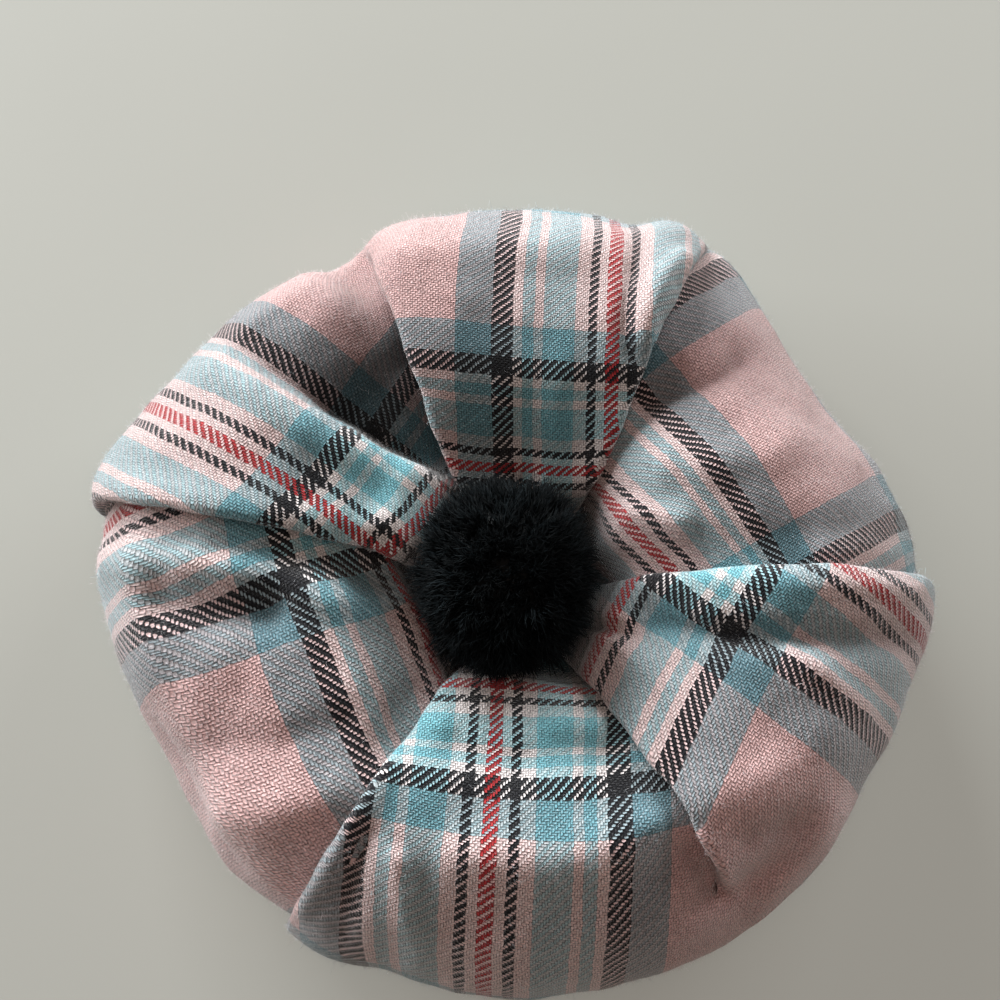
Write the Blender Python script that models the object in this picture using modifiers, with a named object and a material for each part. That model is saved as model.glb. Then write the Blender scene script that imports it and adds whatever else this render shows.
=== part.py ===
"""Tam o' shanter in tartan wool: a puffed crown of six overlapping panels round a six-sided ring, a plain band for the
head, and a wool pompom in the funnel at the middle of the crown. It stands on its band, +Z up, with the back of the
crown towards +Y. Sizes in the tables are millimetres, angles are degrees clockwise from the back, seen from above."""

import math

import bmesh
import bpy
import numpy as np
from mathutils import Matrix, Vector

MM = 0.001

# ---- Driving sizes -------------------------------------------------------------------------------------------------
WALL = 1.5              # thickness of the wool cloth
PITCH = 2.4             # middle to middle of the cloth's layers where it lies on itself in a tuck
LEAD = 4.0              # how far a tuck's stepped part runs out onto the panels beside it
OVER_RUN = 24.0         # from there the upper panel takes this far to come down to the plain dome,
UNDER_RUN = 18.0        # and the lower panel this far to come up to it
SINK = 2.2              # the lower panel is pressed this far below the dome at a tuck
PUFF = 3.0              # a panel stands this far up between two tucks
RIM_RADIUS = 118.0      # the crown's mean radius
RING_CORNER = 36.5      # the ring's mean radius at its corners
RING_CENTRE = (0.9, -2.8)

BAND_INNER = 86.0       # radius of the head opening
BAND_OUTER = 89.0       # the band is the same cloth doubled
BAND_TALL = 25.0
BAND_EDGE = 0.6         # its small bevels

POMPOM_CENTRE = (-3.4, -6.5, 60.0)
POMPOM_HALF = (25.0, 28.5, 18.0)        # half-widths across, along and up
POMPOM_FOOT = 28.4                      # from its middle down to where it is sewn on, at the foot of the funnel

# Radius of the rim seen from above, every 15 degrees.
OUTLINE = {0: 116, 15: 117, 30: 121, 45: 111, 60: 107, 75: 114, 90: 121, 105: 118,
           120: 115, 135: 117, 150: 118, 165: 116, 180: 116, 195: 115, 210: 116, 225: 115,
           240: 112, 255: 116, 270: 123, 285: 127, 300: 121, 315: 118, 330: 115, 345: 117}

# The crown's section, from the foot of the funnel out over the rim and under to the band.
# out: share of OUTLINE in its radius; ring: share of the ring's own shape; straight: how straight the sides between
# tucks run; puff: share of PUFF; tuck: share of a tuck's depth; open: how far a tuck has opened out; step: share of
# a tuck's height; crease: how far this row moves out (mm) where the rim is creased.
SECTION = [
    # r, z, out, ring, straight, puff, tuck, open, step, crease
    (5.0, 30.4, 0.00, 1.00, 0.0, 0.0, 0.3, 1.00, 0.0, 0.0),
    (10.0, 30.5, 0.00, 1.00, 0.0, 0.0, 0.3, 1.00, 0.0, 0.0),
    (15.4, 31.0, 0.00, 1.00, 0.3, 0.0, 0.3, 0.85, 0.2, 0.0),
    (20.8, 32.2, 0.00, 1.00, 0.6, 0.0, 0.3, 0.60, 0.6, 0.0),
    (26.2, 34.4, 0.00, 1.00, 0.8, 0.0, 0.3, 0.35, 1.0, 0.0),
    (31.4, 37.8, 0.00, 1.00, 0.9, 0.1, 0.8, 0.00, 1.0, 0.0),
    (36.4, 42.8, 0.00, 1.00, 1.0, 0.2, 1.0, 0.00, 1.0, 0.0),
    (42.6, 48.8, 0.00, 0.90, 0.9, 0.4, 1.0, 0.00, 1.0, 0.0),
    (50.4, 54.4, 0.10, 0.70, 0.7, 0.7, 1.0, 0.00, 1.0, 0.0),
    (59.8, 58.8, 0.30, 0.40, 0.5, 0.9, 1.0, 0.00, 1.0, 0.0),
    (70.4, 61.6, 0.50, 0.20, 0.3, 1.0, 1.0, 0.00, 1.0, 0.0),
    (81.2, 61.8, 0.70, 0.10, 0.2, 1.0, 0.9, 0.00, 1.0, 0.0),
    (91.8, 58.4, 0.85, 0.00, 0.1, 1.0, 0.7, 0.00, 1.0, 0.0),
    (101.4, 52.0, 0.95, 0.00, 0.0, 0.9, 0.5, 0.00, 1.0, 0.0),
    (109.4, 43.8, 1.00, 0.00, 0.0, 0.7, 0.3, 0.00, 1.0, -1.0),
    (115.2, 34.4, 1.00, 0.00, 0.0, 0.5, 0.3, 0.35, 1.0, -3.2),
    (118.0, 24.2, 1.00, 0.00, 0.0, 0.3, 0.3, 0.52, 0.8, 0.0),
    (116.8, 16.2, 1.00, 0.00, 0.0, 0.2, 0.3, 0.68, 0.5, 0.0),
    (112.5, 9.4, 1.00, 0.00, 0.0, 0.1, 0.3, 0.85, 0.25, 0.0),
    (104.5, 6.6, 0.60, 0.00, 0.0, 0.0, 0.3, 1.00, 0.1, 0.0),
    (97.0, 8.0, 0.20, 0.00, 0.0, 0.0, 0.3, 1.00, 0.0, 0.0),
    (92.4, 13.0, 0.00, 0.00, 0.0, 0.0, 0.3, 1.00, 0.0, 0.0),
    (90.9, 19.5, 0.00, 0.00, 0.0, 0.0, 0.3, 1.00, 0.0, 0.0),
]
R, Z, OUT, RING, STRAIGHT, PUFFS, TUCK, OPEN, STEP, CREASE = range(10)
LAST_TOP_ROW = 16       # the rim; rows past it face down

# The six tucks. ring, mid and rim: the angle of the visible edge at the ring, half way out and at the rim.
# over: -1 where the panel before it lies on top, +1 where the panel after it does. depth: how far the cloth runs
# under that edge. corner: the ring's radius there.
TUCKS = [
    # name, ring, mid, rim, over, depth, corner
    ("back_right", 36.5, 33.0, 31.0, -1, 9.0, 37.5),
    ("right", 91.5, 89.0, 90.0, 1, 9.0, 34.0),
    ("front_right", 146.5, 147.0, 147.0, -1, 9.0, 38.0),
    ("front_left", 213.5, 212.0, 213.0, -1, 9.0, 38.0),
    ("left", 278.5, 278.0, 280.0, 1, 9.0, 38.5),
    ("back_left", 328.0, 333.5, 336.0, 1, 9.0, 34.5),
]

# Dents and swellings of the top: where, half-length along the radius, half-width across it, and height.
DENTS = [
    # name, angle, radius, along, across, height
    ("roll_beside_back_right_tuck", 25.0, 100.0, 26.0, 8.0, 3.5),
    ("hollow_before_the_roll", 17.0, 92.0, 22.0, 7.0, -1.8),
    ("pocket_beside_back_left_tuck", 331.0, 100.0, 18.0, 7.0, -3.5),
    ("dent_at_front_right_tuck", 144.0, 107.0, 8.0, 14.0, -4.5),
    ("slack_of_left_panel", 247.0, 84.0, 16.0, 22.0, -1.6),
    ("slack_of_right_panel", 62.0, 88.0, 16.0, 22.0, -1.4),
]

# Where the rim is creased, so that the cloth below it shows past it: middle and half-width of the stretch.
CREASES = [
    # name, angle, half_width
    ("left_front", 236.0, 20.0),
]

NAMES = ("crown", "headband", "pompom")


# ---- Curves through the tables -------------------------------------------------------------------------------------
def through(y, at):
    """A smooth curve through evenly spaced values, read at the places `at`."""
    y, at = np.asarray(y, float), np.asarray(at, float)
    y = np.concatenate(([2 * y[0] - y[1]], y, [2 * y[-1] - y[-2]]))
    i = np.clip(at.astype(int), 0, len(y) - 4)
    u = at - i
    a, b, c, d = y[i], y[i + 1], y[i + 2], y[i + 3]
    return b + 0.5 * u * (c - a + u * (2 * a - 5 * b + 4 * c - d + u * (3 * (b - c) + d - a)))


def rim_radius(angle):
    y = [OUTLINE[k] for k in sorted(OUTLINE)]
    around = np.array(y[-2:] + y + y[:3], float)
    return through(around, np.mod(angle, 360) * len(y) / 360 + 2)


def ease(u):
    u = np.clip(u, 0, 1)
    return u * u * (3 - 2 * u)


class Rows:
    """The section read at row numbers, whole or between."""

    def __init__(self, at):
        table = np.array(SECTION, float)
        n = np.arange(len(table))
        self.at = at = np.asarray(at, float)
        self.r, self.z = through(table[:, R], at), through(table[:, Z], at)
        lo, hi = np.clip(at - 1e-3, 0, n[-1]), np.clip(at + 1e-3, 0, n[-1])
        dr = through(table[:, R], hi) - through(table[:, R], lo)
        dz = through(table[:, Z], hi) - through(table[:, Z], lo)
        self.nr, self.nz = -dz / np.hypot(dr, dz), dr / np.hypot(dr, dz)
        share = lambda column: np.interp(at, n, table[:, column])
        self.out, self.ring, self.straight = share(OUT), share(RING), share(STRAIGHT)
        self.puff, self.tuck, self.open, self.step = share(PUFFS), share(TUCK), share(OPEN), share(STEP)
        self.crease = share(CREASE)
        outward = np.clip((self.r - RING_CORNER) / (RIM_RADIUS - RING_CORNER), 0, 1)
        outward = np.where(at > LAST_TOP_ROW, 1, outward)
        self.tuck_angle = np.stack([through([t[1], t[2], t[3]], 2 * outward) for t in TUCKS], 1)
        corner = np.array([t[6] for t in TUCKS]) / RING_CORNER
        self.corner = 1 + (corner[None, :] - 1) * self.ring[:, None]


def dome_radius(rows, angle):
    """Radius of the dome without its tucks, at angles given as rows x points, and each one's place between two tucks."""
    edges = np.concatenate((rows.tuck_angle, rows.tuck_angle[:, :1] + 360), 1)
    a = np.mod(angle - edges[:, :1], 360) + edges[:, :1]
    k = (a[:, :, None] >= edges[:, None, :-1]).sum(2) - 1
    row = np.arange(len(a))[:, None]
    a0, a1 = edges[row, k], edges[row, k + 1]
    ends = rows.r[:, None] * np.concatenate((rows.corner, rows.corner[:, :1]), 1)
    r0, r1 = ends[row, k], ends[row, k + 1]
    t = (a - a0) / (a1 - a0)
    arc = r0 + (r1 - r0) * t
    chord = r0 * r1 * np.sin(np.radians(a1 - a0)) / (r0 * np.sin(np.radians(a - a0)) + r1 * np.sin(np.radians(a1 - a)))
    s = rows.straight[:, None]
    radius = (1 - s) * arc + s * chord
    radius = radius * (1 + rows.out[:, None] * (rim_radius(a) / RIM_RADIUS - 1))
    for name, middle, half in CREASES:
        off = (a - middle + 180) % 360 - 180
        radius = radius + rows.crease[:, None] * ease(1.6 * (1 - np.abs(off) / half))
    return radius, t


def place(rows, angle, height):
    """Points on the dome at these angles, `height` out along its normal, in millimetres."""
    radius, t = dome_radius(rows, angle)
    lift = height + PUFF * rows.puff[:, None] * np.sin(np.pi * t) ** 0.8
    top = rows.at[:, None] < LAST_TOP_ROW
    for name, at_angle, at_radius, along, across, tall in DENTS:
        off = np.radians((angle - at_angle + 180) % 360 - 180) * at_radius
        lift = lift + tall * np.exp(-((radius - at_radius) / along) ** 2 - (off / across) ** 2) * top
    reach = radius + lift * rows.nr[:, None]
    a = np.radians(angle)
    x = reach * np.sin(a) + RING_CENTRE[0] * rows.ring[:, None]
    y = reach * np.cos(a) + RING_CENTRE[1] * rows.ring[:, None]
    z = rows.z[:, None] + lift * rows.nz[:, None] + 0 * x
    return np.stack((x, y, z), -1)


def tuck_bends(depth, lead, opened, step, n_top, n_arc, n_back):
    """The cloth's way through a tuck from the upper panel to the lower, as arrays x and height, rows x points: along
    the upper panel to the visible edge at x = 0, round a bend and back under it, round another and out along the lower
    panel. Where the tuck has opened, both bends turn less and the stretch between them only slopes down."""
    bend = PITCH / 2
    fall = 2 * PITCH * step
    turn = math.pi * (1 - opened)
    turn = np.minimum(turn, np.arccos(np.clip(1 - fall / (2 * bend), -1, 1)))
    shut = turn > 0.97 * math.pi
    turn = np.where(shut, math.pi, turn)
    between = np.where(shut, depth - 2 * bend, (fall - 2 * bend * (1 - np.cos(turn))) / np.maximum(np.sin(turn), 0.05))
    top = (2 * PITCH - SINK) * step
    xs, hs = [], []
    for i in range(n_top):
        u = i / n_top
        xs.append(-(depth + lead) * (1 - u) - bend * u)
        hs.append(top)
    for i in range(n_arc + 1):
        a = turn * i / n_arc
        xs.append(-bend + bend * np.sin(a))
        hs.append(top - bend + bend * np.cos(a))
    x, h = xs[-1] + between * np.cos(turn), hs[-1] - between * np.sin(turn)
    cx, ch = x + bend * np.sin(turn), h + bend * np.cos(turn)
    for i in range(n_back + 1):
        a = turn * (1 - i / n_back)
        xs.append(cx - bend * np.sin(a))
        hs.append(ch - bend * np.cos(a))
    end = np.maximum(xs[-1] + 0.6, 0)
    xs += [end, end + lead]
    hs += [hs[-1], hs[-1]]
    x, h = np.stack([v + 0 * depth for v in xs], 1), np.stack([v + 0 * depth for v in hs], 1)
    even = x[:, :1] + (x[:, -1:] - x[:, :1]) * np.linspace(0, 1, len(xs))[None, :]
    spread = ease((opened - 0.55) / 0.4)[:, None]
    return x * (1 - spread) + even * spread, h


def crown_points(row_at, n_top=2, n_arc=3, n_back=2, n_panel=4):
    """The middle of the cloth as rows x points x 3."""
    rows = Rows(row_at)
    at_tuck, _ = dome_radius(rows, rows.tuck_angle + 1e-6)
    gap = np.diff(np.concatenate((rows.tuck_angle, rows.tuck_angle[:, :1] + 360), 1), axis=1)
    width = np.radians(gap) * np.minimum(at_tuck, np.roll(at_tuck, -1, 1))
    narrow = np.minimum(width, np.roll(width, 1, 1))
    zones = []
    for k, (name, _, _, _, over, depth, _) in enumerate(TUCKS):
        d = np.minimum(np.maximum(depth * rows.tuck, 3.0), 0.26 * narrow[:, k])
        lead = np.minimum(LEAD, 0.12 * narrow[:, k])
        x, h = tuck_bends(d, lead, rows.open, rows.step, n_top, n_arc, n_back)
        x = -over * x
        if over > 0:        # the upper panel comes after the tuck
            x, h = x[:, ::-1], h[:, ::-1]
        zones.append((rows.tuck_angle[:, k:k + 1] + np.degrees(x / at_tuck[:, k:k + 1]), h, over))
    angles, heights = [], []
    for k, (angle, h, over) in enumerate(zones):
        angles.append(angle)
        heights.append(h)
        after = (k + 1) % len(zones)
        a0, a1 = angle[:, -1:], zones[after][0][:, :1] + (360 if after == 0 else 0)
        a = a0 + (a1 - a0) * (np.arange(1, n_panel + 1) / (n_panel + 1))[None, :]
        mm = np.radians(1) * rows.r[:, None]
        span = (a1 - a0) * mm
        run0 = np.minimum(OVER_RUN if over > 0 else UNDER_RUN, 0.55 * span)
        run1 = np.minimum(OVER_RUN if zones[after][2] < 0 else UNDER_RUN, 0.55 * span)
        angles.append(a)
        heights.append(h[:, -1:] * (1 - ease((a - a0) * mm / run0)) + zones[after][1][:, :1] * (1 - ease((a1 - a) * mm / run1)))
    return place(rows, np.concatenate(angles, 1), np.concatenate(heights, 1))


# ---- Pieces --------------------------------------------------------------------------------------------------------
def material(name, colour, roughness, sheen):
    m = bpy.data.materials.new(name)
    m.use_nodes = True
    shader = m.node_tree.nodes["Principled BSDF"]
    shader.inputs["Base Color"].default_value = (*colour, 1)
    shader.inputs["Roughness"].default_value = roughness
    shader.inputs["Metallic"].default_value = 0
    shader.inputs["Sheen Weight"].default_value = sheen
    m.diffuse_color = (*colour, 1)
    return m


def add_object(name, mesh, mat, collection):
    mesh.materials.append(mat)
    mesh.shade_smooth()
    ob = bpy.data.objects.new(name, mesh)
    collection.objects.link(ob)
    return ob


def make_crown(mat, collection):
    """The cloth's middle surface as one loft through the rows, closed at the foot of the funnel, given its thickness."""
    points = crown_points(np.arange(len(SECTION))) * MM
    bm = bmesh.new()
    grid = [[bm.verts.new(p) for p in row] for row in points]
    foot = bm.verts.new(points[0].mean(0))
    n = len(grid[0])
    for j in range(n):
        bm.faces.new((foot, grid[0][(j + 1) % n], grid[0][j]))
        for i in range(len(grid) - 1):
            bm.faces.new((grid[i][j], grid[i][(j + 1) % n], grid[i + 1][(j + 1) % n], grid[i + 1][j]))
    bm.normal_update()
    mesh = bpy.data.meshes.new("crown")
    bm.to_mesh(mesh)
    bm.free()
    ob = add_object("crown", mesh, mat, collection)
    wall = ob.modifiers.new("wall", "SOLIDIFY")
    wall.thickness = WALL * MM
    wall.offset = 0
    wall.use_quality_normals = True
    wall.use_rim = True
    return ob


def make_headband(mat, collection):
    """The band: its section turned about the axis."""
    e = BAND_EDGE
    section = [(BAND_OUTER - e, BAND_TALL), (BAND_OUTER, BAND_TALL - e), (BAND_OUTER, e), (BAND_OUTER - e, 0),
               (BAND_INNER + e, 0), (BAND_INNER, e), (BAND_INNER, BAND_TALL - e), (BAND_INNER + e, BAND_TALL)]
    mesh = bpy.data.meshes.new("headband")
    mesh.from_pydata([(r * MM, 0, z * MM) for r, z in section], [(i, (i + 1) % len(section)) for i in range(len(section))], [])
    ob = add_object("headband", mesh, mat, collection)
    turn = ob.modifiers.new("turn", "SCREW")
    turn.angle = 2 * math.pi
    turn.steps = turn.render_steps = 56
    turn.screw_offset = 0
    turn.use_merge_vertices = True
    turn.merge_threshold = 1e-6
    turn.use_normal_calculate = True
    return ob


def make_pompom(mat, collection):
    """The outer form of the wool: a squat ball, pressed narrower below where it sits in the funnel, with a few locks
    that stand proud."""
    bm = bmesh.new()
    bmesh.ops.create_uvsphere(bm, u_segments=24, v_segments=14, radius=1)
    for v in bm.verts:
        x, y, z = v.co
        a = math.atan2(y, x)
        lumps = 1 + 0.030 * math.sin(5 * a + 1.3) * (1 - z * z) + 0.022 * math.sin(8 * a + 4 * z) * (1 - z * z)
        below = 1 - 0.16 * ease(-z * 1.6)
        v.co = (POMPOM_HALF[0] * x * lumps * below, POMPOM_HALF[1] * y * lumps * below, (POMPOM_HALF[2] if z > 0 else POMPOM_FOOT) * z)
    bmesh.ops.transform(bm, matrix=Matrix.Scale(MM, 4), verts=bm.verts)
    bm.normal_update()
    mesh = bpy.data.meshes.new("pompom")
    bm.to_mesh(mesh)
    bm.free()
    ob = add_object("pompom", mesh, mat, collection)
    ob.location = Vector(POMPOM_CENTRE) * MM
    return ob


def stand_on_middle(pieces):
    """Moves the hat so that its box stands on the origin, centred."""
    graph = bpy.context.evaluated_depsgraph_get()
    corners = []
    for ob in pieces:
        mesh = ob.evaluated_get(graph).to_mesh()
        corners += [ob.matrix_world @ v.co for v in mesh.vertices]
    low = [min(c[i] for c in corners) for i in range(3)]
    high = [max(c[i] for c in corners) for i in range(3)]
    shift = Vector((-(low[0] + high[0]) / 2, -(low[1] + high[1]) / 2, -low[2]))
    for ob in pieces:
        ob.location += shift


def main():
    for ob in list(bpy.data.objects):
        bpy.data.objects.remove(ob)
    collection = bpy.data.collections.new("tam_o_shanter")
    bpy.context.scene.collection.children.link(collection)
    tartan = material("tartan_wool", (0.36, 0.33, 0.32), 0.9, 0.4)
    wool = material("black_wool", (0.012, 0.014, 0.018), 0.95, 0.3)
    pieces = [make_crown(tartan, collection), make_headband(tartan, collection), make_pompom(wool, collection)]
    bpy.context.view_layer.update()
    stand_on_middle(pieces)
    bpy.context.view_layer.update()


main()
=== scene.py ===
import math

import bpy
import numpy as np
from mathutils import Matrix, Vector


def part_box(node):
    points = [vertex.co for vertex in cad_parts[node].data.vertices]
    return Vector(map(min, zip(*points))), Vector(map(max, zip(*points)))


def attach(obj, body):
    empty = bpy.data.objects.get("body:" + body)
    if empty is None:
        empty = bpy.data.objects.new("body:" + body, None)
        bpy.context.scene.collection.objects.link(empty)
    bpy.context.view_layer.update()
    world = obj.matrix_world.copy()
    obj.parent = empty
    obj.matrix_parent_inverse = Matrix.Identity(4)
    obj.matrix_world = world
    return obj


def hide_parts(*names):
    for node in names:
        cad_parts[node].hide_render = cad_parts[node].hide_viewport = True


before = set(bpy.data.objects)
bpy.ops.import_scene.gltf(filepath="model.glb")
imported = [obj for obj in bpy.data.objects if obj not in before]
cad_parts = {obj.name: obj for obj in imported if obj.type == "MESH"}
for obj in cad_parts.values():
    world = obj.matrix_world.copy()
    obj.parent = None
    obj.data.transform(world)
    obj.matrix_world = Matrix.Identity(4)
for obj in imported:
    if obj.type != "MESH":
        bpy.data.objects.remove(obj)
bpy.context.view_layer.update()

# The tam o' shanter's looks: its cloth as one fine surface in twill tartan, its band, its pompom's wool, the nap's loose
# fibres, a pale floor and soft window light. Sizes in the tables are millimetres, angles are degrees clockwise from the
# back, seen from above.

MM = 0.001
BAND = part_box("headband")
SHIFT = np.array([(BAND[0][0] + BAND[1][0]) / 2, (BAND[0][1] + BAND[1][1]) / 2, 0.0]) / MM     # the axis, in the row's frame
RNG = np.random.default_rng(7)

# ---- The crown's form, as in the part ----------------------------------------------------------------------------------
WALL, PITCH, LEAD, OVER_RUN, UNDER_RUN, SINK, PUFF = 1.5, 2.4, 4.0, 24.0, 18.0, 2.2, 3.0
RIM_RADIUS, RING_CORNER, RING_CENTRE = 118.0, 36.5, (0.9, -2.8)

OUTLINE = {0: 116, 15: 117, 30: 121, 45: 111, 60: 107, 75: 114, 90: 121, 105: 118,
           120: 115, 135: 117, 150: 118, 165: 116, 180: 116, 195: 115, 210: 116, 225: 115,
           240: 112, 255: 116, 270: 123, 285: 127, 300: 121, 315: 118, 330: 115, 345: 117}

SECTION = [
    # r, z, out, ring, straight, puff, tuck, open, step, crease
    (5.0, 30.4, 0.00, 1.00, 0.0, 0.0, 0.3, 1.00, 0.0, 0.0),
    (10.0, 30.5, 0.00, 1.00, 0.0, 0.0, 0.3, 1.00, 0.0, 0.0),
    (15.4, 30.8, 0.00, 1.00, 0.3, 0.0, 0.3, 0.85, 0.2, 0.0),
    (21.0, 31.4, 0.00, 1.00, 0.6, 0.0, 0.3, 0.60, 0.6, 0.0),
    (27.6, 33.6, 0.00, 1.00, 0.8, 0.0, 0.3, 0.35, 1.0, 0.0),
    (31.6, 39.4, 0.00, 1.00, 0.9, 0.1, 0.8, 0.00, 1.0, 0.0),
    (35.2, 45.2, 0.00, 1.00, 1.0, 0.2, 1.0, 0.00, 1.0, 0.0),
    (41.6, 50.0, 0.00, 0.90, 0.9, 0.4, 1.0, 0.00, 1.0, 0.0),
    (50.2, 54.8, 0.10, 0.70, 0.7, 0.7, 1.0, 0.00, 1.0, 0.0),
    (59.8, 58.8, 0.30, 0.40, 0.5, 0.9, 1.0, 0.00, 1.0, 0.0),
    (70.4, 61.6, 0.50, 0.20, 0.3, 1.0, 1.0, 0.00, 1.0, 0.0),
    (81.2, 61.8, 0.70, 0.10, 0.2, 1.0, 0.9, 0.00, 1.0, 0.0),
    (91.8, 58.4, 0.85, 0.00, 0.1, 1.0, 0.7, 0.00, 1.0, 0.0),
    (101.4, 52.0, 0.95, 0.00, 0.0, 0.9, 0.5, 0.00, 1.0, 0.0),
    (109.4, 43.8, 1.00, 0.00, 0.0, 0.7, 0.3, 0.00, 1.0, -1.0),
    (115.2, 34.4, 1.00, 0.00, 0.0, 0.5, 0.3, 0.35, 1.0, -3.2),
    (118.0, 24.2, 1.00, 0.00, 0.0, 0.3, 0.3, 0.52, 0.8, 0.0),
    (116.8, 16.2, 1.00, 0.00, 0.0, 0.2, 0.3, 0.68, 0.5, 0.0),
    (112.5, 9.4, 1.00, 0.00, 0.0, 0.1, 0.3, 0.85, 0.25, 0.0),
    (104.5, 6.6, 0.60, 0.00, 0.0, 0.0, 0.3, 1.00, 0.1, 0.0),
    (97.0, 8.0, 0.20, 0.00, 0.0, 0.0, 0.3, 1.00, 0.0, 0.0),
    (92.4, 13.0, 0.00, 0.00, 0.0, 0.0, 0.3, 1.00, 0.0, 0.0),
    (90.9, 19.5, 0.00, 0.00, 0.0, 0.0, 0.3, 1.00, 0.0, 0.0),
]
R, Z, OUT, RING, STRAIGHT, PUFFS, TUCK, OPEN, STEP, CREASE = range(10)
LAST_TOP_ROW = 16

TUCKS = [
    # name, ring, mid, rim, over, depth, corner
    ("back_right", 36.5, 31.4, 29.8, -1, 9.0, 37.5),
    ("right", 91.5, 92.0, 91.2, 1, 9.0, 34.0),
    ("front_right", 146.5, 147.0, 147.0, -1, 9.0, 38.0),
    ("front_left", 213.5, 212.0, 213.0, -1, 9.0, 38.0),
    ("left", 278.5, 278.0, 280.0, 1, 9.0, 38.5),
    ("back_left", 328.0, 333.5, 336.0, 1, 9.0, 34.5),
]

# Where a tuck's fold runs out before the rim, so that the two panels meet there without a step.
RUN_OUTS = [
    # tuck, from_row, rows
    ("back_right", 13.0, 2.2),
    ("front_right", 12.2, 2.0),
    ("back_left", 13.2, 2.2),
]

DENTS = [
    # name, angle, radius, along, across, height
    ("roll_beside_back_right_tuck", 25.0, 100.0, 26.0, 8.0, 3.5),
    ("hollow_before_the_roll", 17.0, 92.0, 22.0, 7.0, -1.8),
    ("pocket_beside_back_left_tuck", 331.0, 100.0, 18.0, 7.0, -3.5),
    ("dent_at_front_right_tuck", 144.0, 107.0, 8.0, 14.0, -4.5),
    ("slack_of_left_panel", 247.0, 84.0, 16.0, 22.0, -1.6),
    ("slack_of_right_panel", 62.0, 88.0, 16.0, 22.0, -1.4),
]

CREASES = [
    # name, angle, half_width
    ("left_front", 236.0, 20.0),
]

# The panels, each named by the tuck that it starts at, and the direction its stripes run in.
PANELS = [
    # name, axis
    ("back_right_panel", 61.0),
    ("right_panel", 118.0),
    ("front_panel", 180.0),
    ("left_panel", 248.0),
    ("back_left_panel", 305.0),
    ("back_panel", 3.0),
]

# ---- The cloth's pattern -------------------------------------------------------------------------------------------------
YARN = 0.775            # from one yarn to the next, both ways
# Half the repeat as a weaver counts it, from the middle of the red line to the middle of the pink ground; it turns back
# on itself at both ends, and warp and weft are the same.
SETT = [
    # colour, yarns
    ("red", 3), ("cream", 4), ("black", 4), ("cream", 6), ("blue", 14), ("cream", 4), ("blue", 5), ("cream", 4),
    ("black", 9), ("slate", 15), ("pink", 39),
]
HALF = sum(n for _, n in SETT)
YARNS = {   # sRGB
    "red": (176, 42, 46),
    "cream": (236, 226, 224),
    "black": (17, 17, 23),
    "blue": (124, 190, 202),
    "slate": (98, 132, 142),
    "pink": (214, 173, 170),
}

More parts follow.
